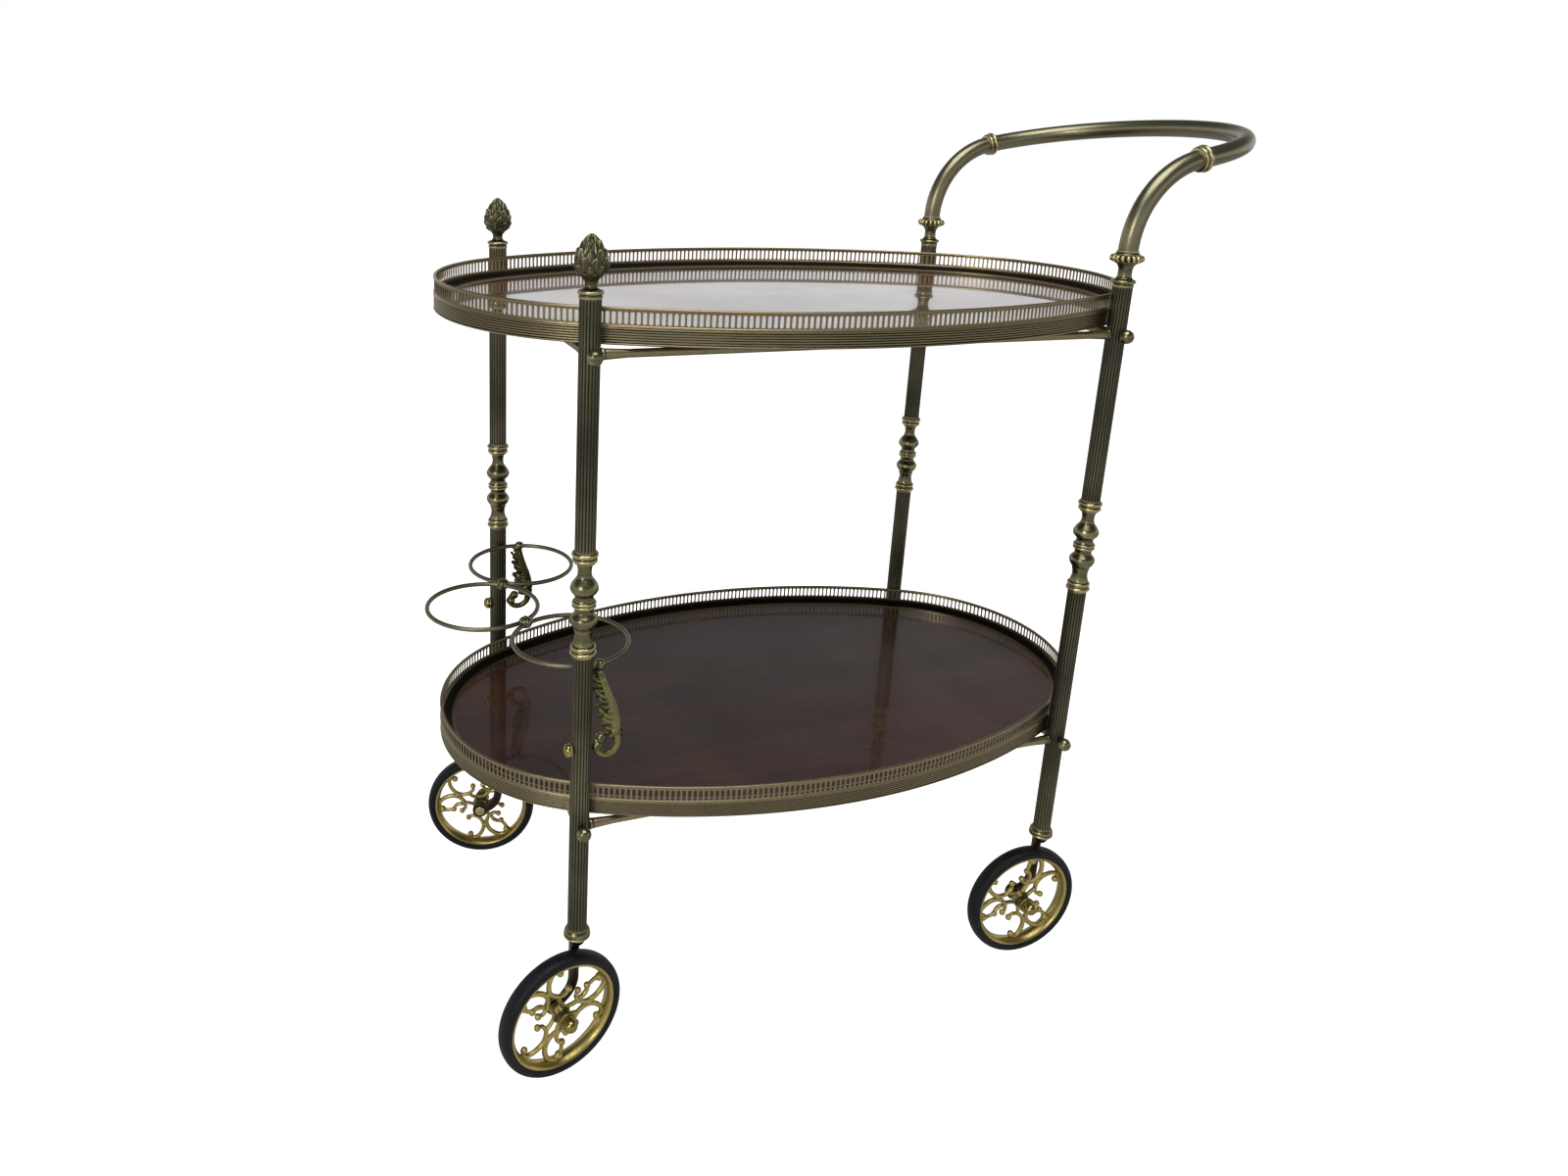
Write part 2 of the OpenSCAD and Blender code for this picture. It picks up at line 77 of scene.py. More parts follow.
def new_material(name):
    """An empty material's tree and its Principled shader, already joined to the output."""
    material = bpy.data.materials.new(name)
    material.use_nodes = True
    tree = material.node_tree
    tree.nodes.clear()
    shader = add(tree, "BsdfPrincipled")
    add(tree, "OutputMaterial", Surface=shader.outputs[0])
    return material, tree, shader


paper, tree, shader = new_material("studio_paper")
shader.inputs["Base Color"].default_value = (0.6, 0.6, 0.6, 1)
shader.inputs["Roughness"].default_value = 1.0
shader.inputs["Specular IOR Level"].default_value = 0.0
shader.inputs["Emission Color"].default_value = (1, 1, 1, 1)
seen = add(tree, "LightPath").outputs["Is Camera Ray"]
tree.links.new(add(tree, "MapRange", _0=seen, _3=0.16, _4=1.1).outputs[0],
               shader.inputs["Emission Strength"])
floor_mesh.materials.append(paper)

world = bpy.data.worlds.new("studio_sky")
bpy.context.scene.world = world
world.use_nodes = True
tree = world.node_tree
tree.nodes.clear()
toward = add(tree, "TexCoord").outputs["Generated"]
height = add(tree, "SeparateXYZ", Vector=toward).outputs["Z"]
glow = add(tree, "MapRange", {"interpolation_type": "SMOOTHSTEP"}, _0=height, _1=0.2, _2=0.42,
           _3=0.95, _4=0.14).outputs[0]
seen = add(tree, "LightPath").outputs["Is Camera Ray"]
glow = add(tree, "Mix", {"data_type": "FLOAT"}, _0=seen, _2=glow, _3=1.0).outputs[0]
room = add(tree, "Background", Color=(1, 1, 1, 1), Strength=glow)
add(tree, "OutputWorld", Surface=room.outputs[0])
bpy.context.scene.view_settings.view_transform = "Standard"


def softbox(name, size, watts, place, aim):
    """A square area light at a place, turned to face a point."""
    light = bpy.data.lights.new(name, "AREA")
    light.shape, light.size, light.energy = "SQUARE", size, watts
    lamp = bpy.data.objects.new(name, light)
    bpy.context.scene.collection.objects.link(lamp)
    away = np.subtract(place, aim) / np.linalg.norm(np.subtract(place, aim))
    side = np.cross((0, 0, 1), away) + (1e-6, 0, 0)
    side /= np.linalg.norm(side)
    turn = np.column_stack([side, np.cross(away, side), away])
    lamp.matrix_world = Matrix(np.vstack([np.column_stack([turn, place]), (0, 0, 0, 1)]).tolist())


softbox("overhead_softbox", 1.6, 38, (-0.3, -0.5, 2.6), (0, 0, 0.4))
softbox("left_softbox", 0.7, 16, (-1.9, -1.6, 1.5), (0, 0, 0.4))

CAMERA_PLACE = (-0.5596, -0.9768, 0.836)
CAMERA_YAW, CAMERA_PITCH, CAMERA_ROLL = 0.363, 0.282, 0.038  # radians
lens = bpy.data.cameras.new("camera")
lens.lens, lens.sensor_width, lens.clip_start = 26.45, 36, 0.02
lens.shift_x, lens.shift_y = 0.084, -0.0936
camera = bpy.data.objects.new("camera", lens)
bpy.context.scene.collection.objects.link(camera)
bpy.context.scene.camera = camera
yaw_c, yaw_s = np.cos(CAMERA_YAW), np.sin(CAMERA_YAW)
ahead = np.array([yaw_s * np.cos(CAMERA_PITCH), yaw_c * np.cos(CAMERA_PITCH),
                  -np.sin(CAMERA_PITCH)])
level = np.array([yaw_c, -yaw_s, 0])
upward = np.cross(level, ahead)
right = np.cos(CAMERA_ROLL) * level + np.sin(CAMERA_ROLL) * upward
top = np.cos(CAMERA_ROLL) * upward - np.sin(CAMERA_ROLL) * level
camera.matrix_world = Matrix(
    np.vstack([np.column_stack([right, top, -ahead, CAMERA_PLACE]), (0, 0, 0, 1)]).tolist())

# ---------------------------------------------------------------- tray panels
# Two oval boards veneered in straight-grained mahogany, stained dark and
# finished in high-gloss lacquer. They drop into the bands and lie on their lips.


def mix(tree, share, a, b):
    """One colour or another, or a share of both."""
    return add(tree, "Mix", {"data_type": "RGBA"}, _0=share, _6=a, _7=b).outputs[2]


def mapped(tree, value, low, high, bottom=0.0, top=1.0):
    """A value taken from one range to another and held there, with soft ends."""
    return add(tree, "MapRange", {"interpolation_type": "SMOOTHSTEP"}, _0=value, _1=low,
               _2=high, _3=bottom, _4=top).outputs[0]


def noise(tree, place, scale, detail=3.0, roughness=0.55):
    """Even noise of a scale at a place, from 0 to 1."""
    return add(tree, "TexNoise", Vector=place, Scale=scale, Detail=detail,
               Roughness=roughness).outputs[0]


def stretched(tree, place, x, y, z):
    """A place measured in longer or shorter steps along each axis."""
    return add(tree, "Mapping", Vector=place, Scale=(x, y, z)).outputs[0]


mahogany, tree, shader = new_material("mahogany_lacquer")
place = add(tree, "TexCoord").outputs["Object"]
ribbon = noise(tree, stretched(tree, place, 1.3, 17, 1), 1.0, 5, 0.6)
grain = noise(tree, stretched(tree, place, 6, 150, 1), 1.0, 4, 0.65)
pores = noise(tree, stretched(tree, place, 26, 900, 1), 1.0, 2, 0.5)
curl = noise(tree, stretched(tree, place, 14, 3, 1), 1.0, 3, 0.5)
wood = mix(tree, mapped(tree, ribbon, 0.36, 0.66), (0.026, 0.0062, 0.0034, 1),
           (0.078, 0.0205, 0.0105, 1))
wood = mix(tree, mapped(tree, grain, 0.4, 0.7, 0, 0.55), wood, (0.017, 0.0042, 0.0027, 1))
wood = mix(tree, mapped(tree, curl, 0.5, 0.75, 0, 0.3), wood, (0.1, 0.028, 0.013, 1))
wood = mix(tree, mapped(tree, pores, 0.6, 0.72, 0, 0.8), wood, (0.008, 0.0025, 0.002, 1))
haze = noise(tree, place, 9, 4)
ripple = add(tree, "Bump", Strength=0.025, Distance=0.002, Height=noise(tree, place, 30, 2))
tree.links.new(wood, shader.inputs["Base Color"])
tree.links.new(mapped(tree, haze, 0.3, 0.7, 0.2, 0.34), shader.inputs["Roughness"])
tree.links.new(ripple.outputs[0], shader.inputs["Normal"])
shader.inputs["Coat Weight"].default_value = 1.0
shader.inputs["Coat Roughness"].default_value = 0.035
shader.inputs["Coat IOR"].default_value = 1.65


def finish_node(node, material):
    """Gives a CAD node that is shown as it is its material."""
    mesh = frame["nodes"][node].data
    mesh.materials.clear()
    mesh.materials.append(material)
    mesh.polygons.foreach_set("material_index", np.zeros(len(mesh.polygons), np.int32))


for node in ("upper_panel", "lower_panel"):
    finish_node(node, mahogany)

# ---------------------------------------------------------------- tray bands
# A flat oval hoop round each tray: brass strip rolled with fine reeds between two
# beads, patinated olive, with a lip turned in below the board.

MM = 0.001


def aged_brass_group():
    """Shader group: old brass. A ridge mask, from 0 in a hollow to 1 on a ridge, and two noises
    choose between a dark patina, the metal's own tone and a bright tone, which is rubbed wear and
    also a painted highlight on the ridges."""
    group = bpy.data.node_groups.new("aged_brass", "ShaderNodeTree")
    for name, kind in (("Dark", "Color"), ("Tone", "Color"), ("Bright", "Color"),
                       ("Wear and highlight", "Float"), ("Blotch", "Float"), ("Shine", "Float")):
        group.interface.new_socket(name, in_out="INPUT", socket_type="NodeSocket" + kind)
    for name, kind in (("Color", "Color"), ("Roughness", "Float"), ("Height", "Float")):
        group.interface.new_socket(name, in_out="OUTPUT", socket_type="NodeSocket" + kind)
    given = group.nodes.new("NodeGroupInput").outputs
    place = add(group, "TexCoord").outputs["Object"]
    cloud = noise(group, place, given["Blotch"], 4, 0.6)
    specks = noise(group, place, 520, 3, 0.6)
    unsure = add(group, "Math", {"operation": "MULTIPLY_ADD"}, _0=cloud, _1=0.5,
                 _2=given["Wear and highlight"]).outputs[0]
    # Bright tone on the ridges: rubbed wear and a painted highlight.
    worn_and_highlit = mapped(group, unsure, 0.86, 1.16)
    dull = mapped(group, unsure, 0.72, 0.42)
    colour = mix(group, worn_and_highlit, given["Tone"], given["Bright"])
    colour = mix(group, dull, colour, given["Dark"])
    colour = mix(group, mapped(group, specks, 0.6, 0.74, 0, 0.6), colour, given["Dark"])
    rough = add(group, "Math", {"operation": "MULTIPLY_ADD"}, _0=dull, _1=0.25,
                _2=given["Shine"]).outputs[0]
    rough = add(group, "Math", {"operation": "MULTIPLY_ADD"}, _0=specks, _1=0.16,
                _2=rough).outputs[0]
    out = group.nodes.new("NodeGroupOutput")
    for socket, value in zip(out.inputs, (colour, rough, specks)):
        group.links.new(value, socket)
    return group


aged_brass = aged_brass_group()


def brass(name, dark, tone, bright, blotch=38.0, shine=0.24, pit=0.25):
    """A brass finish from the shared group. Shine is its roughness where it is cleanest."""
    material, tree, shader = new_material(name)
    # The ridge mask: patina in the hollows, and wear with a painted highlight on the ridges.
    wear_and_highlight = add(tree, "Attribute", {"attribute_name": "wear_and_highlight"}).outputs["Fac"]
    old = tree.nodes.new("ShaderNodeGroup")
    old.node_tree = aged_brass
    for key, value in (("Dark", (*dark, 1)), ("Tone", (*tone, 1)), ("Bright", (*bright, 1)),
                       ("Blotch", blotch), ("Shine", shine)):
        old.inputs[key].default_value = value
    tree.links.new(wear_and_highlight, old.inputs["Wear and highlight"])
    bump = add(tree, "Bump", Strength=pit, Distance=0.0002, Height=old.outputs["Height"])
    tree.links.new(old.outputs["Color"], shader.inputs["Base Color"])
    tree.links.new(old.outputs["Roughness"], shader.inputs["Roughness"])
    tree.links.new(bump.outputs[0], shader.inputs["Normal"])
    shader.inputs["Metallic"].default_value = 1.0
    return material


def surface(points, round_u=False, round_v=False):
    """Quads over a grid of points (u, v, xyz), which may close on itself either way."""
    count = points.shape[0] * points.shape[1]
    index = np.arange(count).reshape(points.shape[:2])
    if round_u:
        index = np.vstack([index, index[:1]])
    if round_v:
        index = np.hstack([index, index[:, :1]])
    quads = np.stack([index[:-1, :-1], index[1:, :-1], index[1:, 1:], index[:-1, 1:]], -1)
    return points.reshape(-1, 3), quads.reshape(-1, 4)


def neighbours_mean(values, ends, pull, count):
    """The mean over each point's neighbours along the mesh's edges, column by column, where
    each edge has its own pull."""
    near, far = np.concatenate([ends, ends[:, ::-1]]).T
    pull = np.tile(pull, 2)
    share = np.maximum(np.bincount(near, pull, count), 1e-9)
    return np.stack([np.bincount(near, pull * column[far], count) / share
                     for column in values.T], 1)


def wear_and_highlight_of(mesh, reach):
    """How far each point stands out from the ground round it: its height over the mean of
    its neighbours, the nearer counting more, taken three times over, divided by the reach,
    about a middle of 0.5. A rise of half the reach gets the bright tone, which is rubbed wear and
    also a painted highlight on the ridges; the hollows get the dark patina."""
    count = len(mesh.vertices)
    places, normals = np.empty(3 * count), np.empty(3 * count, np.float32)
    ends = np.empty(2 * len(mesh.edges), np.int32)
    mesh.vertices.foreach_get("co", places)
    mesh.vertices.foreach_get("normal", normals)
    mesh.edges.foreach_get("vertices", ends)
    places, ends = places.reshape(-1, 3), ends.reshape(-1, 2)
    pull = 1 / np.maximum(np.linalg.norm(places[ends[:, 0]] - places[ends[:, 1]], axis=1), 1e-5)
    ground = places
    for _ in range(3):
        ground = neighbours_mean(ground, ends, pull, count)
    height = ((places - ground) * normals.reshape(-1, 3)).sum(1)
    return np.clip(0.5 + height / reach, 0, 1)


def build(name, surfaces, material, body, stands_for=(), crease=42, reach=0.0004):
    """A piece from surfaces: one mesh, seams and poles merged, faces turned outwards, smooth
    but for creases past an angle in degrees, with its ridge mask (wear, a painted highlight on
    ridges, patina in hollows) stored on its points. It rides on a body and may stand for CAD nodes."""
    starts = np.cumsum([0] + [len(points) for points, quads in surfaces])
    points = np.concatenate([points for points, quads in surfaces])
    quads = np.concatenate([quads + start for (_, quads), start in zip(surfaces, starts)])
    mesh = bpy.data.meshes.new(name)
    mesh.vertices.add(len(points))
    mesh.vertices.foreach_set("co", points.astype(np.float32).ravel())
    mesh.loops.add(quads.size)
    mesh.loops.foreach_set("vertex_index", quads.astype(np.int32).ravel())
    mesh.polygons.add(len(quads))
    mesh.polygons.foreach_set("loop_start", np.arange(0, quads.size, 4, dtype=np.int32))
    mesh.update(calc_edges=True)
    work = bmesh.new()
    work.from_mesh(mesh)
    bmesh.ops.remove_doubles(work, verts=work.verts, dist=2e-6)
    bmesh.ops.recalc_face_normals(work, faces=work.faces)
    work.to_mesh(mesh)
    work.free()
    mesh.polygons.foreach_set("use_smooth", np.ones(len(mesh.polygons), bool))
    mesh.set_sharp_from_angle(angle=np.radians(crease))
    # Ridge mask: lightens ridges as rubbed wear and a painted highlight, darkens hollows as patina.
    mesh.attributes.new("wear_and_highlight", "FLOAT", "POINT").data.foreach_set(
        "value", wear_and_highlight_of(mesh, reach).astype(np.float32))
    mesh.materials.append(material)
    thing = bpy.data.objects.new(name, mesh)
    bpy.context.scene.collection.objects.link(thing)
    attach(thing, body)
    if stands_for:
        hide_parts(*stands_for)
    return thing


TRAY_END_R = 163 * MM
tray_low, tray_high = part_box("upper_band")
tray_mid = (tray_low.x + tray_high.x) / 2
half_length, half_width = (tray_high.x - tray_low.x) / 2, (tray_high.y - tray_low.y) / 2
end_centre = half_length - TRAY_END_R
side_centre = (end_centre ** 2 - (half_width - TRAY_END_R) ** 2) / 2 / (half_width - TRAY_END_R)
side_r = half_width + side_centre
join = np.arctan2(side_centre, end_centre)
ARCS = np.array([  # centre x, centre y, radius, first angle, turn
    (end_centre, 0, TRAY_END_R, -join, 2 * join),
    (0, -side_centre, side_r, join, np.pi - 2 * join),
    (-end_centre, 0, TRAY_END_R, np.pi - join, 2 * join),
    (0, side_centre, side_r, np.pi + join, np.pi - 2 * join)])
arc_ends = np.cumsum(np.concatenate([[0], ARCS[:, 2] * ARCS[:, 4]]))


def oval(share, inset, height):
    """Points at shares of the way round a tray's edge, from its right-hand end: the edge is
    four arcs joined tangentially, and an inset moves a point in along the arc's radius."""
    length = np.mod(share, 1) * arc_ends[-1]
    arc = np.clip(np.searchsorted(arc_ends, length, side="right") - 1, 0, 3)
    cx, cy, radius, first, _ = ARCS[arc].T
    angle = first + (length - arc_ends[arc]) / radius
    x = cx + (radius - inset) * np.cos(angle)
    y = cy + (radius - inset) * np.sin(angle)
    return np.stack(np.broadcast_arrays(tray_mid + x, y, height), -1)


def hoop(profile, steps=360):
    """A closed profile of (inset, height) points carried round the tray's edge."""
    share = np.repeat(np.arange(steps)[:, None] / steps, len(profile), 1)
    inset, height = (np.broadcast_to(column, share.shape) for column in profile.T)
    points = oval(share.ravel(), inset.ravel(), height.ravel())
    return surface(points.reshape(steps, len(profile), 3), True, True)


def bulge(x0, z0, x1, z1, depth, steps=6):
    """An arc-like swelling from one point to another: a straight line pushed to its left by
    a half sine of that depth."""
    t = np.linspace(0, 1, steps + 1)[:-1]
    along = np.hypot(x1 - x0, z1 - z0)
    push = depth * np.sin(np.pi * t) / along
    return np.stack([x0 + (x1 - x0) * t - (z1 - z0) * push,
                     z0 + (z1 - z0) * t + (x1 - x0) * push], 1)


BAND_H = 14 * MM
BAND_BEAD = 2.0 * MM
BAND_INSET = 0.9 * MM
REEDS = 5
REED_DEPTH = 0.6 * MM
reed_h = (BAND_H - 2 * BAND_BEAD) / REEDS
band_profile = np.concatenate(
    [bulge(BAND_INSET, 0, BAND_INSET, BAND_BEAD, BAND_INSET)]
    + [bulge(BAND_INSET, BAND_BEAD + i * reed_h, BAND_INSET, BAND_BEAD + (i + 1) * reed_h,
             REED_DEPTH) for i in range(REEDS)]
    + [bulge(BAND_INSET, BAND_H - BAND_BEAD, BAND_INSET, BAND_H, BAND_INSET)]
    + [np.array([(1.3, 14), (2, 14), (2, 8), (2, 1.2), (9, 1.2), (16, 1.2), (16, 0), (8, 0)]) * MM])
band_brass = brass("band_brass", (0.016, 0.014, 0.009), (0.085, 0.076, 0.05),
                   (0.27, 0.225, 0.125), blotch=12, shine=0.27)
for tier in ("upper", "lower"):
    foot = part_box(tier + "_band")[0].z
    build(tier + "_band_reeded", [hoop(band_profile + (0, foot))], band_brass, "trolley_frame",
          [tier + "_band"], reach=0.00022)

# ---------------------------------------------------------------- galleries
# The low fence round each tray: thin brass strip pierced with upright round-ended
# slots, a rolled rail along its top, and a coved ledge that covers the board's edge.

SLOT_PITCH = 4.8 * MM
SLOT_SHARE = 0.64
STRIP_T = 0.9 * MM
STRIP_INSET = 0.9 * MM
RAIL_D = 2.8 * MM
SLOT_LOW, SLOT_HIGH = 2.3 * MM, 12.2 * MM
STRIP_FOOT = 1.5 * MM
slots = int(arc_ends[-1] / SLOT_PITCH)


def pierced_strip(bottom, top, low, high):
    """A strip round the tray with a slot in each cell: round the slot run four loops of
    points, the cell's edge and the slot's edge on the outer face, then the same on the
    inner face, which walls the slot. A slot is a straight run with a half circle at each
    end; a cell's edge is the same directions carried to its rectangle."""
    half_cell = 0.5 / slots
    radius = half_cell * SLOT_SHARE
    radius_m = radius * arc_ends[-1]
    turn = np.radians([0, 45, 90, 135, 180, 180, 225, 270, 315, 360])
    ends = np.array([1] * 5 + [0] * 5)
    slot_s = radius * np.cos(turn)
    slot_z = np.where(ends, high - radius_m, low + radius_m) + radius_m * np.sin(turn)
    edge_s = half_cell * np.array([1, 1, 0, -1, -1, -1, -1, 0, 1, 1])
    edge_z = np.array([high - radius_m, top, top, top, high - radius_m, low + radius_m,
                       bottom, bottom, bottom, low + radius_m])
    share = np.stack([edge_s, slot_s, slot_s, edge_s])
    height = np.stack([edge_z, slot_z, slot_z, edge_z])
    inset = STRIP_INSET + STRIP_T * np.array([0, 0, 1, 1])[:, None] + 0 * share
    middle = ((np.arange(slots) + 0.5) / slots)[:, None, None]
    shape = (slots, *share.shape)
    points = oval((middle + share).ravel(),
                  np.broadcast_to(inset, shape).ravel(),
                  np.broadcast_to(height, shape).ravel()).reshape(*shape, 3)
    grids = [surface(cell, False, True) for cell in points]
    count = len(grids[0][0])
    return (points.reshape(-1, 3),
            np.concatenate([quads + i * count for i, (_, quads) in enumerate(grids)]))


gallery_brass = brass("gallery_brass", (0.015, 0.012, 0.009), (0.085, 0.07, 0.045),
                      (0.27, 0.215, 0.125), blotch=14, shine=0.26)
for tier in ("upper", "lower"):
    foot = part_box(tier + "_band")[1].z
    rail_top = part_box(tier + "_gallery")[1].z - foot
    middle = rail_top - RAIL_D / 2
    turn = np.linspace(0, 2 * np.pi, 12, endpoint=False)
    rail = np.stack([RAIL_D / 2 * (1 + np.cos(turn)), middle + RAIL_D / 2 * np.sin(turn)], 1)
    cove = np.array([(0.1, 0.1), (0.1, 0.8), (0.7, 1.5), (1.2, 1.9), (1.9, 1.9), (2.6, 1.3),
                     (4, -0.2), (6, -1.5), (8.5, -2.3), (11, -2.7), (13.2, -2.8), (13.8, -3.1),
                     (13.8, -3.9), (2.4, -3.9), (2.4, 0.1)]) * MM
    strip = pierced_strip(STRIP_FOOT, middle, SLOT_LOW, SLOT_HIGH)
    strip[0][:, 2] += foot
    build(tier + "_gallery_pierced", [hoop(rail + (0, foot)), hoop(cove + (0, foot)), strip],
          gallery_brass, "trolley_frame", [tier + "_gallery"], reach=0.0005)

# ---------------------------------------------------------------- leg tubes
# Drawn brass tube with upright reeds all round, an upper and a lower length to each
# leg, patinated darker in the grooves. Collars and spigots join them.

LEGS = ("nl", "nr", "fl", "fr")
leg_place = {}
for leg in LEGS:
    low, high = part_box("baluster_" + leg)
    leg_place[leg] = np.array([(low.x + high.x) / 2, (low.y + high.y) / 2, 0])
tube_low, tube_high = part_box("lower_tube_nl")
TUBE_R = (tube_high.x - tube_low.x) / 2
TUBE_WALL = 1.0 * MM
FLUTES = 20
FLUTE_DEPTH = 0.5 * MM
SIDES_PER_FLUTE = 8
END_ROWS = np.array([0, 1, 2, 4]) * MM
bore = TUBE_R - TUBE_WALL


def lathe(profile, sides=56, radius_of=None):
    """A profile of (radius, height) points turned about +Z. radius_of may change the radii
    with the angle: it gets radii, heights and angles as arrays that broadcast."""
    angle = np.linspace(0, 2 * np.pi, sides, endpoint=False)[None, :]
    radius, height = np.asarray(profile, float).T[:, :, None]
    if radius_of is not None:
        radius = radius_of(radius, height, angle)
    return np.stack(np.broadcast_arrays(radius * np.cos(angle), radius * np.sin(angle), height), -1)


def fluted(radius, height, angle):
    """Radii with rounded reeds: the outside drops in a rectified sine between the reeds."""
    drop = FLUTE_DEPTH * (1 - np.abs(np.sin(FLUTES * angle / 2)) ** 0.7)
    return np.where(radius > TUBE_R - TUBE_WALL / 2, radius - drop, radius) + 0 * angle


tube_brass = brass("reeded_tube_brass", (0.014, 0.013, 0.01), (0.058, 0.055, 0.038),
                   (0.2, 0.18, 0.105), blotch=16, shine=0.3)
for leg in LEGS:
    for part in ("upper_tube_", "lower_tube_"):
        low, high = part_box(part + leg)
        rise = np.concatenate([low.z + END_ROWS, np.linspace(low.z, high.z, 12)[1:-1],
                               high.z - END_ROWS[::-1]])
        wall = np.array([(TUBE_R, z) for z in rise] + [(bore, high.z), (bore, low.z)])
        grid = lathe(wall, FLUTES * SIDES_PER_FLUTE, fluted) + leg_place[leg]
        build(part + leg + "_reeded", [surface(grid, True, True)], tube_brass, "trolley_frame",
              [part + leg], crease=60, reach=0.00035)

# ---------------------------------------------------------------- turned leg pieces
# Solid brass turnings, lacquered, with a bright tone on their beads that is rubbed wear and a
# painted highlight: a baluster between the two tubes of each leg, and a cup at the foot that carries
# the castor.


def fair(points, steps=6):
    """A smooth line through points of (radius, height) in millimetres: Catmull-Rom, with
    the end points doubled."""
    points = np.asarray(points, float) * MM
    p = np.vstack([points[:1], points, points[-1:]])
    t = np.linspace(0, 1, steps, endpoint=False)[:, None]
    curve = [0.5 * (2 * b + (c - a) * t + (2 * a - 5 * b + 4 * c - d) * t ** 2
                    + (3 * b - a - 3 * c + d) * t ** 3)
             for a, b, c, d in zip(p[:-3], p[1:-2], p[2:-1], p[3:])]
    return np.vstack(curve + [points[-1:]])


def bead(radius, height, middle, steps=10):
    """A half-round ring in millimetres: outermost at its middle height."""
    turn = np.linspace(-np.pi / 2, np.pi / 2, steps + 1)
    return np.stack([radius - height / 2 * (1 - np.cos(turn)),
                     middle + height / 2 * np.sin(turn)], 1) * MM


def turned(*stretches):
    """Stretches of a profile in a row, from the axis and back to it."""
    line = np.vstack(stretches)
    return np.vstack([(0, line[0, 1]), line, (0, line[-1, 1])])


def half_baluster(neck):
    """Half of the baluster, outwards from its middle ring, and the radius of its neck."""
    return [bead(10.2, 2.9, 1.5), fair([(8.6, 3.1), (7.9, 5), (7.8, 7), (8.9, 8.6)]),
            fair([(9.3, 9.2), (10.9, 11), (11.8, 13.2), (11.6, 15.5), (10.6, 18), (8.8, 20.6)]),
            fair([(8.2, 21.4), (neck + 0.7, 23.8), (neck, 26.5), (neck, 29.5),
                  (neck + 0.5, 32.5), (neck + 1.3, 35)]),
            fair([(8.6, 35.4), (8.6, 36.2)], 2), bead(10.6, 3.6, 38.3), bead(9.6, 1.2, 40.8),
            bead(11.2, 3.6, 43.2), fair([(9.2, 45.1), (9.2, 46)], 2)]


turned_brass = brass("turned_brass", (0.036, 0.032, 0.016), (0.15, 0.14, 0.076),
                     (0.46, 0.4, 0.21), blotch=45, shine=0.2)
half_up = half_baluster(5.8)
half_down = [stretch[::-1] * (1, -1) for stretch in reversed(half_baluster(7.2))]
for leg in LEGS:
    low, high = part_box("baluster_" + leg)
    grid = lathe(turned(*half_down, *half_up)) + leg_place[leg] + (0, 0, (low.z + high.z) / 2)
    build("baluster_" + leg + "_turned", [surface(grid, False, True)], turned_brass,
          "trolley_frame", ["baluster_" + leg])
    low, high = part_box("foot_collar_" + leg)
    cup = turned(fair([(8.6, 0), (9.3, 0.5), (9.4, 1.4), (10.4, 2)], 3), bead(12, 2.6, 3.4),
                 fair([(11, 4.9), (11.6, 6.2), (11, 8.2), (9.6, 10), (9.1, 11.4)]))
    build("foot_collar_" + leg + "_turned",
          [surface(lathe(cup) + leg_place[leg] + (0, 0, low.z), False, True)], turned_brass,
          "trolley_frame", ["foot_collar_" + leg])

# ---------------------------------------------------------------- finials
# Cast pine cones that screw into the tops of the left legs over a turned neck and
# collar. Pointed scales overlap upwards in staggered rows, dark between them.

SCALES_ROUND = 8
SCALE_ROWS = 5.5
SCALE_LENGTH, SCALE_HALF = 1.7, 0.62  # in rows, and in steps round
SCALE_SINK, SCALE_LIFT = 1.7 * MM, 2.5 * MM
RIB_LIFT, RIB_HALF = 0.18, 0.07
CONE_FOOT, CONE_TOP = 15.5, 48.0  # millimetres above the leg


def cone_scales(radius, height, angle):
    """Radii with scales: in row k a scale starts at v = k, is a pointed oval of the angle
    and lifts towards its tip, with a rib along its middle; the highest of the rows that
    overlap at a point counts."""
    v = (height / MM - CONE_FOOT) / (CONE_TOP - CONE_FOOT) * SCALE_ROWS
    lift = np.zeros(np.broadcast(v, angle).shape)
    for row in range(-1, int(SCALE_ROWS) + 1):
        w = (v - row) / SCALE_LENGTH
        u = np.mod(SCALES_ROUND * angle / (2 * np.pi) + 0.5 * (row % 2), 1) - 0.5
        half = SCALE_HALF * np.sqrt(np.clip(1 - np.clip(w, 0, 1) ** 1.8, 0, 1))
        inside = (w > 0) & (w < 1) & (np.abs(u) < half)
        shape = (0.25 + 0.75 * w) * np.sqrt(np.clip(1 - (u / np.maximum(half, 1e-6)) ** 2, 0, 1))
        shape += RIB_LIFT * np.clip(1 - np.abs(u) / RIB_HALF, 0, 1) * (w > 0.1)
        lift = np.maximum(lift, np.where(inside, shape, 0))
    on_cone = np.clip((height / MM - CONE_FOOT) / 2, 0, 1)
    on_cone = on_cone * np.clip((CONE_TOP - height / MM) / 3, 0, 1)
    return radius - SCALE_SINK * on_cone + lift * SCALE_LIFT * on_cone


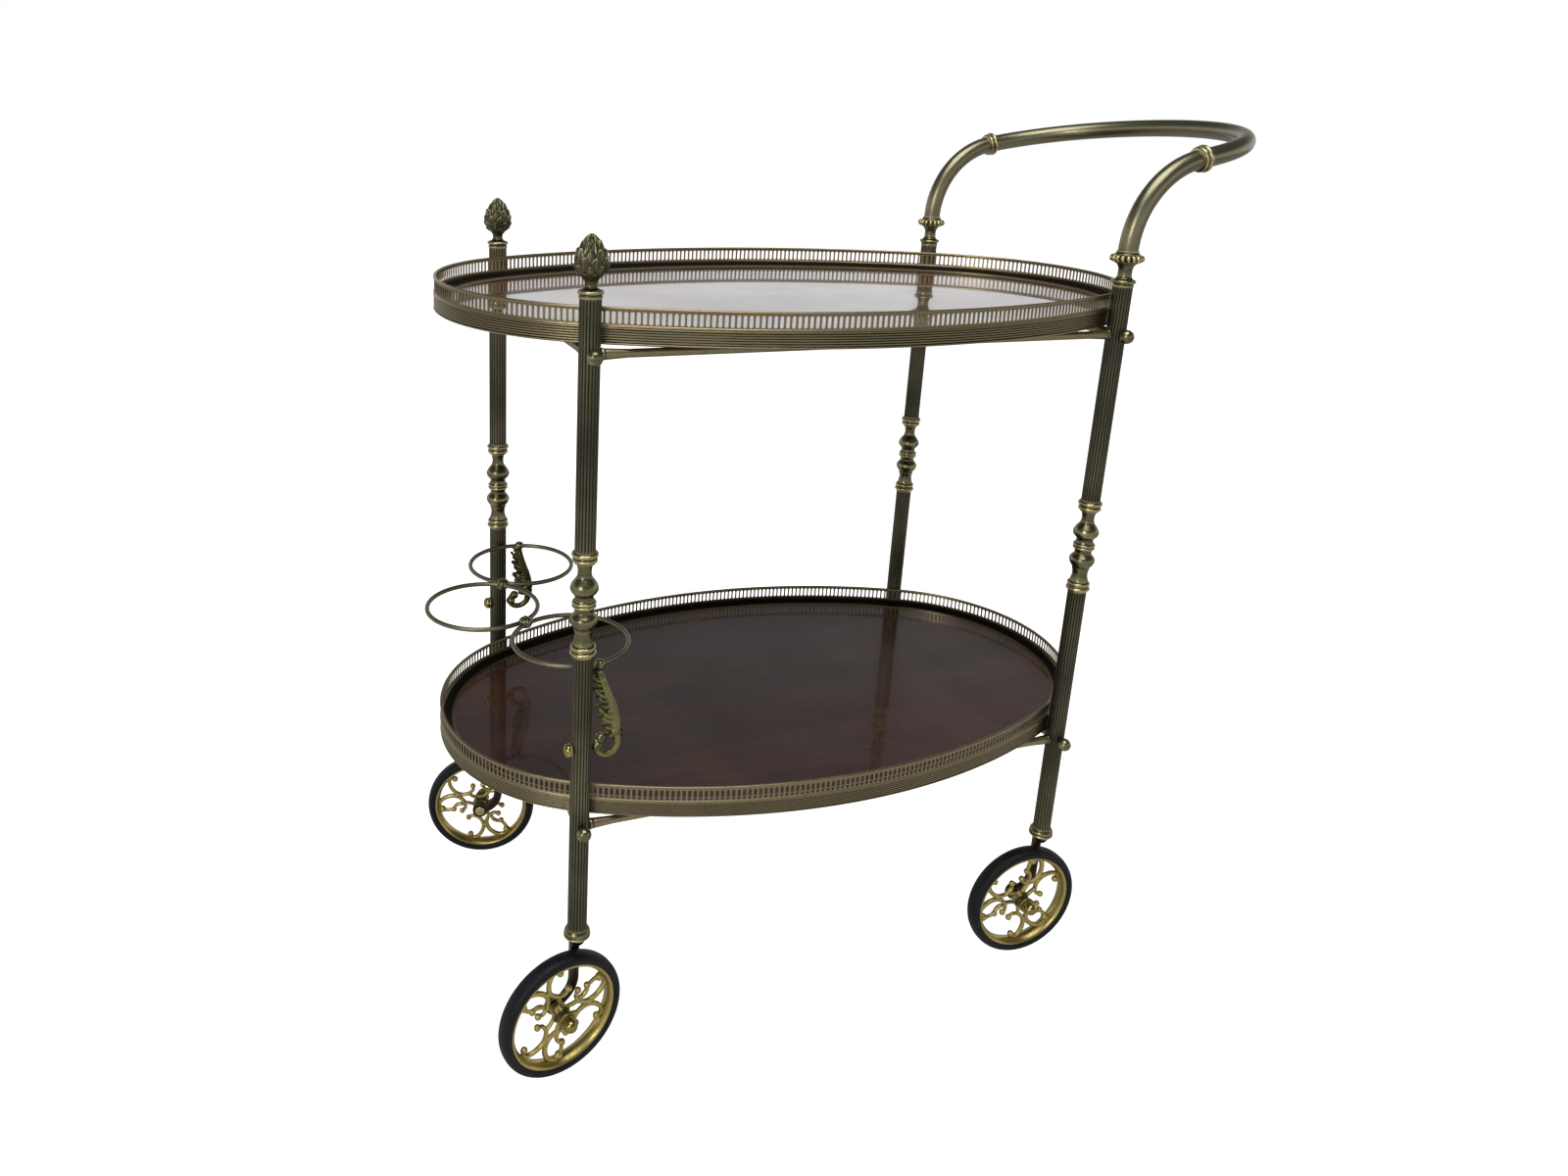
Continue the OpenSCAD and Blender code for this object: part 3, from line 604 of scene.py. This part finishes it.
old_brass = brass("cast_brass", (0.018, 0.016, 0.01), (0.105, 0.096, 0.055),
                  (0.4, 0.35, 0.2), blotch=60, shine=0.27)
leg_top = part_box("upper_tube_nl")[1].z
for leg in ("nl", "fl"):
    neck = turned(fair([(9.2, 0), (9.2, 1.6)], 2), bead(8.8, 1.2, 2.2), bead(10.3, 3.2, 4.6),
                  fair([(8.2, 6.3), (6, 7.4), (4.9, 9), (4.9, 12), (6, 14), (7.4, 15.6)]))
    cone = turned(fair([(6.6, 15.2), (9.2, 17), (11.6, 20), (12.9, 24), (13, 28), (11.9, 33),
                        (9.6, 38), (6.6, 42.6), (3.6, 46), (1.1, 48)], 12))
    above = leg_place[leg] + (0, 0, leg_top)
    build("finial_" + leg + "_cone",
          [surface(lathe(neck) + above, False, True),
           surface(lathe(cone, 180, cone_scales) + above, False, True)],
          old_brass, "trolley_frame", ["finial_" + leg], reach=0.0005)

# ---------------------------------------------------------------- handle sockets
# Turned brass sockets on the right legs: a collar, a slim neck and a flange cast with
# fat beads, which the swan necks plug into.

BEADS_ROUND = 17
FLANGE_CORE = 11.2 * MM


def gadroon(radius, height, angle):
    """Radii with round lobes on whatever stands out past the flange's core."""
    lobe = np.abs(np.cos(BEADS_ROUND * angle / 2))
    return radius - np.clip(radius - FLANGE_CORE, 0, None) * 0.75 * (1 - lobe ** 0.8)


socket = turned(fair([(9.2, 0), (9.2, 1.6)], 2), bead(8.8, 1.2, 2.2), bead(10.7, 3.4, 4.6),
                fair([(8.4, 6.4), (6.9, 8), (6.2, 10.5), (6.1, 15), (6.9, 18), (8.6, 20.4)]),
                bead(10.4, 1.8, 21.6), bead(15, 6.4, 25.2, 16), bead(10.8, 1.8, 28.9),
                fair([(9.6, 29.9), (9.5, 32)], 2))
for leg in ("nr", "fr"):
    grid = lathe(socket, 200, gadroon) + leg_place[leg] + (0, 0, leg_top)
    build("handle_socket_" + leg + "_turned", [surface(grid, False, True)], turned_brass,
          "trolley_frame", ["handle_socket_" + leg])

# ---------------------------------------------------------------- handle
# Smooth bent tube in three lengths: two swan necks that rise from the sockets and a
# wide bow between them, joined under short collars with two beads and a thin ring.

NECK_R = 82 * MM
NECK_TURN = np.radians(79)
BOW_RISE = np.radians(11)


def sweep(path, across, section, size=1.0):
    """A section of (a, b) points carried along a path that lies in a plane: a is measured in
    that plane, square to the path, and b along the plane's normal, across."""
    tangent = np.gradient(path, axis=0)
    tangent /= np.linalg.norm(tangent, axis=1, keepdims=True)
    side = np.cross(tangent, across)
    size = np.broadcast_to(size, len(path))[:, None, None]
    return path[:, None] + size * (section[None, :, :1] * side[:, None]
                                   + section[None, :, 1:] * np.asarray(across, float))


def capped(grid):
    """A swept grid with each end drawn in to its middle, so that it is closed."""
    ends = [np.repeat(row.mean(0)[None, None], grid.shape[1], 1) for row in (grid[0], grid[-1])]
    return np.concatenate([ends[0], grid, ends[1]])


def disc(radius, sides=40, squash=1.0):
    """A round or oval section."""
    turn = np.linspace(0, 2 * np.pi, sides, endpoint=False)
    return np.stack([radius * np.cos(turn), squash * radius * np.sin(turn)], 1)


def placed(grid, origin, x, y, z):
    """A grid in its own axes put at an origin, with its axes along x, y and z."""
    return np.asarray(grid) @ np.array([x, y, z], float) + origin


handle_brass = brass("handle_tube_brass", (0.022, 0.021, 0.015), (0.074, 0.073, 0.049),
                     (0.2, 0.185, 0.115), blotch=9, shine=0.25, pit=0.03)
neck_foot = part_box("swan_neck_nr")[0].z
angle = np.linspace(0, NECK_TURN, 40)
neck_line = np.stack([NECK_R * (1 - np.cos(angle)), 0 * angle, NECK_R * np.sin(angle)], 1)
bow_x = np.array([np.cos(BOW_RISE), 0, np.sin(BOW_RISE)])
bow_up = np.array([-np.sin(BOW_RISE), 0, np.cos(BOW_RISE)])
for leg in ("nr", "fr"):
    foot = leg_place[leg] + (0, 0, neck_foot)
    grid = sweep(neck_line + foot, (0, 1, 0), disc(TUBE_R))
    build("swan_neck_" + leg + "_bent", [surface(capped(grid), False, True)], handle_brass,
          "trolley_frame", ["swan_neck_" + leg])
    ring = turned(fair([(9.2, -5), (10.2, -4.6)], 2), bead(11.4, 2.6, -2.8), bead(10.5, 1.2, -0.6),
                  bead(12.3, 4, 2.1), fair([(10.2, 4.3), (9.2, 4.7)], 2))
    grid = placed(lathe(ring), neck_line[-1] + foot, bow_up, (0, 1, 0), bow_x)
    build("ring_collar_" + leg + "_turned", [surface(grid, False, True)], turned_brass,
          "trolley_frame", ["ring_collar_" + leg])
bow_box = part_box("handle_bow")
bow_start = neck_line[-1] + leg_place["nr"] + (0, -leg_place["nr"][1], neck_foot)
bow_half = abs(leg_place["nr"][1])
bow_reach = (bow_box[1].x - TUBE_R - bow_start[0]) / np.cos(BOW_RISE)
angle = np.linspace(0, np.pi, 120)[:, None]
SQUARENESS = 0.94
bow_line = (bow_start + bow_reach * np.sin(angle) ** SQUARENESS * bow_x
            + bow_half * np.cos(angle) * (0, 1, 0))
build("handle_bow_bent", [surface(capped(sweep(bow_line, bow_up, disc(TUBE_R))), False, True)],
      handle_brass, "trolley_frame", ["handle_bow"])

# ---------------------------------------------------------------- rods and ball nuts
# Brass rods under each tray tie the legs together: tapered ferrules at their ends, and
# a stud through each leg with a ball nut on its outer side.

ROD_R = 3.5
ROD_GAP = 0.3
NUT_SEAT = 0.2 * MM
ferrule = [(4.9, 0), (5, 1.5), (4.6, 2.4), (4.4, 6), (3.9, 14), (ROD_R, 22)]
ball_nut = turned(fair([(3.4, 0), (5, 1.4), (6.1, 3.4), (6.4, 5.8), (5.9, 8), (4.5, 10.1),
                        (2.3, 11.3), (0.3, 11.6)]))
for tier in ("upper", "lower"):
    nut_low, nut_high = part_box(tier + "_nuts")
    level_z = (nut_low.z + nut_high.z) / 2
    rods, nuts = [], []
    for leg, other in (("nl", "nr"), ("fl", "fr"), ("nl", "fl"), ("nr", "fr")):
        start, end = leg_place[leg], leg_place[other]
        along = (end - start) / np.linalg.norm(end - start)
        span = (np.linalg.norm(end - start) - 2 * TUBE_R) / MM - 2 * ROD_GAP
        far = [(r, span - z) for r, z in reversed(ferrule)]
        bar = lathe(turned(fair(ferrule, 3), fair([(ROD_R, span * 0.4), (ROD_R, span * 0.6)], 2),
                           fair(far, 3)), 28)
        across = np.cross(along, (0, 0, 1))
        foot = start + along * (TUBE_R + ROD_GAP * MM) + (0, 0, level_z)
        rods.append(surface(placed(bar, foot, (0, 0, 1), across, along), False, True))
    for leg in LEGS:
        out = np.array([0, np.sign(leg_place[leg][1]), 0])
        seat = leg_place[leg] + out * (TUBE_R - NUT_SEAT) + (0, 0, level_z)
        grid = placed(lathe(ball_nut, 40), seat, (1, 0, 0), (0, 0, 1), out)
        nuts.append(surface(grid, False, True))
    build(tier + "_rods_turned", rods, band_brass, "trolley_frame",
          [tier + "_rods"])
    build(tier + "_nuts_turned", nuts, turned_brass, "trolley_frame",
          [tier + "_nuts"])
    finish_node(tier + "_saddles", band_brass)

# ---------------------------------------------------------------- bottle rings
# Three hoops of thin brass wire held level beside the left legs, soldered to each
# other at cast rosettes and to the scroll brackets at small balls.

WIRE_R = 2.1 * MM
ring_brass = brass("ring_wire_brass", (0.016, 0.014, 0.012), (0.072, 0.063, 0.046),
                   (0.2, 0.175, 0.115), blotch=20, shine=0.3)
ring_place = {}
for name in ("near", "middle", "far"):
    low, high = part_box("bottle_ring_" + name)
    ring_place[name] = np.array((low + high) / 2)
    ring_r = (high.x - low.x) / 2 - (high.z - low.z) / 2
    turn = np.linspace(0, 2 * np.pi, 144, endpoint=False)
    circle = np.stack([np.cos(turn), np.sin(turn), 0 * turn], 1)
    wire = disc(WIRE_R, 16)
    grid = (ring_place[name] + circle[:, None] * (ring_r + wire[None, :, :1])
            + wire[None, :, 1:] * (0, 0, 1))
    build("bottle_ring_" + name + "_wire", [surface(grid, True, True)], ring_brass,
          "trolley_frame", ["bottle_ring_" + name])


def petals(radius, height, angle):
    """Radii with six petals."""
    return radius * (0.84 + 0.16 * np.abs(np.cos(3 * angle)) ** 0.6)


rosette = turned(fair([(1.2, -4.9), (4, -4.4), (6, -2.6), (6.5, 0), (6, 2.6), (4, 4.4), (2.6, 4.7)]),
                 bead(2.3, 1.6, 5.2), fair([(1.2, 6.2), (0.3, 6.4)], 3))
button = turned(fair([(0.6, -4), (2.8, -3.6), (4.3, -2), (4.7, 0), (4.3, 2), (2.8, 3.6), (0.6, 4)]))
LEAF_TIP = 11 * MM
button_r = ring_r + 1 * MM
joints, leaf_top = [], {}
for name in ("near", "far"):
    middle = (ring_place[name] + ring_place["middle"]) / 2
    joints.append(surface(lathe(rosette, 96, petals) + middle, False, True))
    leg = leg_place[name[0] + "l"]
    turn_x = (leg[0] + TUBE_R + LEAF_TIP - ring_place[name][0]) / button_r
    side = np.sign(leg[1]) * np.sqrt(1 - turn_x ** 2)
    leaf_top[name] = ring_place[name] + button_r * np.array([turn_x, side, 0])
    joints.append(surface(lathe(button, 40) + leaf_top[name], False, True))
build("ring_joints_cast", joints, turned_brass, "trolley_frame", ["ring_joints"])

# ---------------------------------------------------------------- scroll brackets
# Cast acanthus brackets bolted to the left legs: a C scroll curls up from the bolt,
# and a leaf with curled lobes on the leg's side rises from it to the rings.


def spiral(centre, start_r, end_r, start_deg, end_deg, steps=28):
    """Points in a plane on a spiral round a centre, millimetres, degrees."""
    t = np.linspace(0, 1, steps)
    angle = np.radians(start_deg + (end_deg - start_deg) * t)
    radius = start_r + (end_r - start_r) * t
    return np.stack([centre[0] + radius * np.cos(angle), centre[1] + radius * np.sin(angle)], 1)


def strand(line, width, thick, size=None, sides=14):
    """A rounded bar along a line in the x-y plane, millimetres, thick along z."""
    path = np.column_stack([line, np.zeros(len(line))]) * MM
    size = np.ones(len(line)) if size is None else np.asarray(size)
    return surface(capped(sweep(path, (0, 0, 1), disc(width / 2 * MM, sides, thick / width),
                                size)), False, True)


def ball(x, y, radius, z=0.0):
    """A small ball at a point, millimetres."""
    turn = np.linspace(-np.pi / 2, np.pi / 2, 11)
    round_line = np.stack([radius * np.cos(turn), radius * np.sin(turn)], 1) * MM
    return surface(lathe(round_line, 18) + np.array([x, y, z]) * MM, False, True)


SPINE_BEADS = 15
LOBES = 4


def bracket_shapes(rise):
    """The bracket in its own plane, x out from the leg's surface and y up from the bolt: two
    strands side by side up to the leaf's tip, the C scroll with two balls, beads along the
    spine, and bundles of lobes that get smaller upwards."""
    spine = fair([(24, 2), (25.4, 10), (24.8, 20), (22, 32), (17.5, 44), (13.6, 56), (11.6, 64),
                  (11, rise)], 8) / MM
    run = np.linspace(0, 1, len(spine))
    shapes = [strand(spine, 5.6, 5, 0.62 + 0.5 * np.sin(np.pi * run) ** 0.8),
              strand(spine - (2.4, 0), 4.6, 6.4, 0.7 + 0.35 * np.sin(np.pi * run)),
              strand(spiral((12.6, 2), 12, 7.4, 30, -235), 6.8, 6.4, np.linspace(1, 0.76, 28)),
              ball(8.8, 7, 4.6), ball(5.4, 0, 4.8)]
    for share in np.linspace(0.12, 0.93, SPINE_BEADS):
        x, y = spine[int(share * (len(spine) - 1))]
        shapes.append(ball(x + 1.2, y, 2.5 - share))
    for foot_share, size in ((0.34, 1.15), (0.56, 0.9), (0.72, 0.72), (0.86, 0.5)):
        for lobe in range(LOBES):
            foot = spine[int((foot_share - 0.035 * lobe) * (len(spine) - 1))]
            tip = foot + size * np.array([-14.5 + 1.9 * lobe, 8.5 - 4.6 * lobe])
            bend = foot + size * np.array([-8 + lobe, -2 - 2.6 * lobe])
            t = np.linspace(0, 1, 14)[:, None]
            line = (1 - t) ** 2 * foot + 2 * t * (1 - t) * bend + t ** 2 * tip
            shapes.append(strand(line, 5.6 * size, 5.6 - 0.8 * (lobe % 2),
                                 1.12 - 0.55 * t[:, 0] ** 1.6, 12))
            shapes.append(ball(tip[0], tip[1] + 0.3, 2.3 * size, 0.6))
    return shapes


leaf_brass = brass("leaf_brass", (0.012, 0.012, 0.006), (0.042, 0.042, 0.02),
                   (0.22, 0.205, 0.09), blotch=130, shine=0.3)
BUTTON_GAP = 3
bolt_low, bolt_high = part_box("bracket_bolts")
bolt_z = (bolt_low.z + bolt_high.z) / 2
for name in ("near", "far"):
    leg = leg_place[name[0] + "l"]
    foot = leg + (TUBE_R, 0, bolt_z)
    lean = (leaf_top[name] - foot) * (0, 1, 1)
    rise = np.linalg.norm(lean) / MM - BUTTON_GAP
    lean /= np.linalg.norm(lean)
    shapes = [(placed(points, foot, (1, 0, 0), lean, np.cross((1, 0, 0), lean)), quads)
              for points, quads in bracket_shapes(rise)]
    build("scroll_bracket_" + name + "_cast", shapes, leaf_brass, "trolley_frame",
          ["scroll_bracket_" + name], reach=0.0012)
dome = turned(fair([(5.6, 0), (6.2, 0.6), (6, 1.2)], 3),
              fair([(5.6, 1.4), (5.9, 3), (5.2, 4.8), (3.8, 6.1), (2, 6.9), (0.3, 7.1)]))
bolts = [surface(placed(lathe(dome, 40), leg_place[leg] + (-TUBE_R + NUT_SEAT, 0, bolt_z),
                        (0, 0, 1), (0, 1, 0), (-1, 0, 0)), False, True) for leg in ("nl", "fl")]
bright_brass = brass("polished_brass", (0.05, 0.038, 0.012), (0.26, 0.21, 0.07), (0.6, 0.5, 0.2),
                     blotch=60, shine=0.16)
build("bracket_bolts_domed", bolts, bright_brass, "trolley_frame",
      ["bracket_bolts"])

# ---------------------------------------------------------------- castor arms
# One bent steel arm to each castor, lacquered dark bronze: a stem and a cone turn in
# the foot cup, and the arm drops inboard of the wheel and curves back to the axle.

hinge = {joint["name"]: joint for joint in frame["joints"]}
arm_finish, tree, shader = new_material("dark_bronze_lacquer")
place = add(tree, "TexCoord").outputs["Object"]
cloud = noise(tree, place, 60, 4)
wear_and_highlight = add(tree, "Attribute", {"attribute_name": "wear_and_highlight"}).outputs["Fac"]
# Lighter where the arm stands out: worn lacquer and a painted highlight on its edges.
edge = mapped(tree, wear_and_highlight, 0.62, 0.85, 0, 0.8)
colour = mix(tree, cloud, (0.012, 0.010, 0.008, 1), (0.035, 0.028, 0.018, 1))
tree.links.new(mix(tree, edge, colour, (0.13, 0.1, 0.045, 1)), shader.inputs["Base Color"])
tree.links.new(mapped(tree, cloud, 0.3, 0.7, 0.32, 0.5), shader.inputs["Roughness"])
tree.links.new(add(tree, "Bump", Strength=0.3, Distance=0.0003,
                   Height=noise(tree, place, 700, 3)).outputs[0], shader.inputs["Normal"])
shader.inputs["Metallic"].default_value = 0.8

ARM_W, ARM_T = 9 * MM, 6 * MM
ARM_BEND = 22 * MM
ARM_OUT = 4.5 * MM
CONE_DROP = 5.3 * MM
turn = np.linspace(0, np.pi / 2, 24)
corner = np.linspace(0, 2 * np.pi, 24, endpoint=False)
round_box = np.stack([ARM_W / 2 * np.sign(np.cos(corner)) * np.abs(np.cos(corner)) ** 0.4,
                      ARM_T / 2 * np.sign(np.sin(corner)) * np.abs(np.sin(corner)) ** 0.4], 1)
for leg in LEGS:
    wheel_at = np.array(hinge["roll_" + leg]["pos_m"])
    out = np.array(hinge["roll_" + leg]["axis"])
    offset = (wheel_at - leg_place[leg]) * (1, 1, 0)
    front = -(offset - offset @ out * out)
    trail = np.linalg.norm(front)
    front /= trail
    wheel_r = wheel_at[2]
    cone_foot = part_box("foot_collar_" + leg)[0].z - CONE_DROP
    drop = np.linspace(cone_foot + 1 * MM, wheel_r + ARM_BEND, 12)[:-1]
    line = np.vstack([np.column_stack([0 * drop, 0 * drop + ARM_OUT, drop]),
                      np.column_stack([-ARM_BEND * (1 - np.cos(turn)), 0 * turn + ARM_OUT,
                                       wheel_r + ARM_BEND * (1 - np.sin(turn))])])
    bar = capped(sweep(line, (0, 1, 0), round_box))
    cone = turned(fair([(5.6, 0), (6.4, 0.4), (8.4, 4.6), (8.7, 5)], 4),
                  fair([(4.5, 5.1), (4.5, 24)], 2)) + (0, cone_foot)
    boss = lathe(turned(fair([(7.4, -3.4), (8.4, -2.8), (8.5, 0), (8.4, 2.8), (7.4, 3.4)], 4)), 40)
    boss = boss[..., [0, 2, 1]] + (-trail, ARM_OUT, wheel_r)
    shapes = [surface(placed(grid, leg_place[leg], front, -out, (0, 0, 1)), False, True)
              for grid in (bar, lathe(cone, 44), boss)]
    build("castor_arm_" + leg + "_bent", shapes, arm_finish, "castor_" + leg,
          ["castor_arm_" + leg], reach=0.0008)

# ---------------------------------------------------------------- wheels
# Spoked castor wheels cast in brass: a channelled rim with rolled lips, a bell-shaped
# hub and three spokes, each a plain C scroll back to back with a leafy one.

wheel_brass = brass("wheel_brass", (0.03, 0.023, 0.011), (0.135, 0.112, 0.045),
                    (0.46, 0.37, 0.13), blotch=40, shine=0.24)


def spoke_shapes(hand):
    """A spoke along +X, mirrored for a hand of -1: the plain scroll, the leafy scroll with a
    second strand inside it, a forked stem to the hub, and balls at the scrolls' ends and
    where the two meet."""
    plain = fair([(16.5, 17), (14.8, 12.5), (17.6, 6.5), (22.6, 3), (29, 1.9), (35.5, 4.1),
                  (41, 8.6), (43.6, 13.4), (42.6, 17.4), (39, 18.8)], 7) / MM
    leafy = fair([(16.5, -17), (14.8, -12.5), (17.6, -6.5), (22.6, -3), (29, -1.9), (35.5, -4.1),
                  (41, -8.8), (44, -14.5), (43.4, -20), (38.6, -23.4), (33, -22.6),
                  (27, -19.2)], 7) / MM
    inner = fair([(27, -18.5), (25.6, -13.4), (22, -9.6), (18, -9)], 7) / MM
    tapers = [0.78 + 0.3 * np.sin(np.pi * np.linspace(0, 1, len(line)))
              for line in (plain, leafy, inner)]
    stems = [np.array([(7, 4.4 * side), (12, 4.8 * side), (18, 6.2 * side)]) for side in (-1, 1)]
    shapes = [strand(line * (1, hand), width, 4.6, taper)
              for line, width, taper in zip((plain, leafy, inner), (4.4, 4.8, 4.0), tapers)]
    shapes += [strand(stem * (1, hand), 3.9, 4.4) for stem in stems]
    for x, y, radius in ((16.6, 17.2, 3.2), (38.6, 18.5, 3.4), (16.6, -17.2, 3.2),
                         (38.4, -23.2, 4), (26, -18.9, 3.2), (29, 0, 3)):
        shapes.append(ball(x, hand * y, radius))
    return shapes


rim_profile = np.array([(51.4, -4.6), (51.9, -5.8), (51.4, -6.8), (50.2, -7.0), (49.2, -6.3),
                        (48.4, -4.6), (47.4, -2.6), (47, 0), (47.4, 2.6), (48.4, 4.6), (49.2, 6.3),
                        (50.2, 7.0), (51.4, 6.8), (51.9, 5.8), (51.4, 4.6), (51.4, 0)]) * MM
hub = turned(fair([(6.6, -8), (7.2, -7.2), (7, -4), (7.8, -1.8)], 4), bead(9.2, 3.4, 0.4),
             fair([(8, 2.4), (7.2, 4), (6.7, 6), (7, 8.4), (7.8, 10.4)], 5), bead(8.2, 2, 11.6))
nut = turned(fair([(5.8, 12.8), (6, 13.8)], 2),
             fair([(5, 14.2), (5.9, 15.8), (6.2, 18), (5.7, 20.4), (4.2, 22.4), (2.2, 23.6),
                   (0.3, 24)]))
shaft = turned(fair([(3, -14.6), (3, 13)], 2))
bolt_head = turned(fair([(4.6, -17.6), (5.4, -17), (5.5, -15.6), (5.5, -15.4)], 3))
rubber, tree, shader = new_material("tyre_rubber")
place = add(tree, "TexCoord").outputs["Object"]
smear = noise(tree, place, 45, 5, 0.65)
colour = mix(tree, mapped(tree, smear, 0.4, 0.72), (0.0034, 0.0038, 0.0046, 1),
             (0.0085, 0.009, 0.0105, 1))
shader.inputs["Specular IOR Level"].default_value = 0.22
tree.links.new(colour, shader.inputs["Base Color"])
tree.links.new(mapped(tree, smear, 0.3, 0.7, 0.4, 0.62), shader.inputs["Roughness"])
tree.links.new(add(tree, "Bump", Strength=0.25, Distance=0.0004,
                   Height=noise(tree, place, 420, 4)).outputs[0], shader.inputs["Normal"])
tyre_profile = np.vstack([
    np.array([(51.7, z) for z in (-6.6, -2.2, 2.2)]) * MM,
    fair([(51.7, 6.8), (52.6, 7.9), (54.2, 8.4), (56, 8.3), (57.8, 7.2), (59.2, 5.2), (59.9, 2.4),
          (60, 0), (59.9, -2.4), (59.2, -5.2), (57.8, -7.2), (56, -8.3), (54.2, -8.4),
          (52.6, -7.9), (51.7, -6.8)], 4)])
SPIN = {"nl": -3, "nr": 48, "fl": 21, "fr": 70}  # degrees from level
SPOKES = 3
for leg in LEGS:
    wheel_at = np.array(hinge["roll_" + leg]["pos_m"])
    out = np.array(hinge["roll_" + leg]["axis"])
    spin = np.radians(SPIN[leg])
    flat = np.cross((0, 0, 1), out)
    axes = (np.cos(spin) * flat + np.sin(spin) * np.array([0, 0, 1]),
            np.cos(spin) * np.array([0, 0, 1]) - np.sin(spin) * flat, out)
    shapes = [surface(lathe(rim_profile, 128), True, True), surface(lathe(hub, 48), False, True)]
    for turn in np.arange(SPOKES) * 2 * np.pi / SPOKES:
        c, s = np.cos(turn), np.sin(turn)
        shapes += [(points @ np.array([(c, s, 0), (-s, c, 0), (0, 0, 1)]), quads)
                   for points, quads in spoke_shapes(-1 if leg[0] == "n" else 1)]
    shapes = [(placed(points, wheel_at, *axes), quads) for points, quads in shapes]
    build("wheel_" + leg + "_spoked", shapes, wheel_brass, "roller_" + leg,
          ["wheel_" + leg], reach=0.0006)
    build("tyre_" + leg + "_moulded",
          [surface(placed(lathe(tyre_profile, 128), wheel_at, *axes), True, True)], rubber,
          "roller_" + leg, ["tyre_" + leg])
    shapes = [surface(placed(lathe(profile, 40), wheel_at, *axes), False, True)
              for profile in (nut, shaft, bolt_head)]
    build("axle_" + leg + "_nut", shapes, bright_brass, "castor_" + leg,
          ["axle_" + leg])
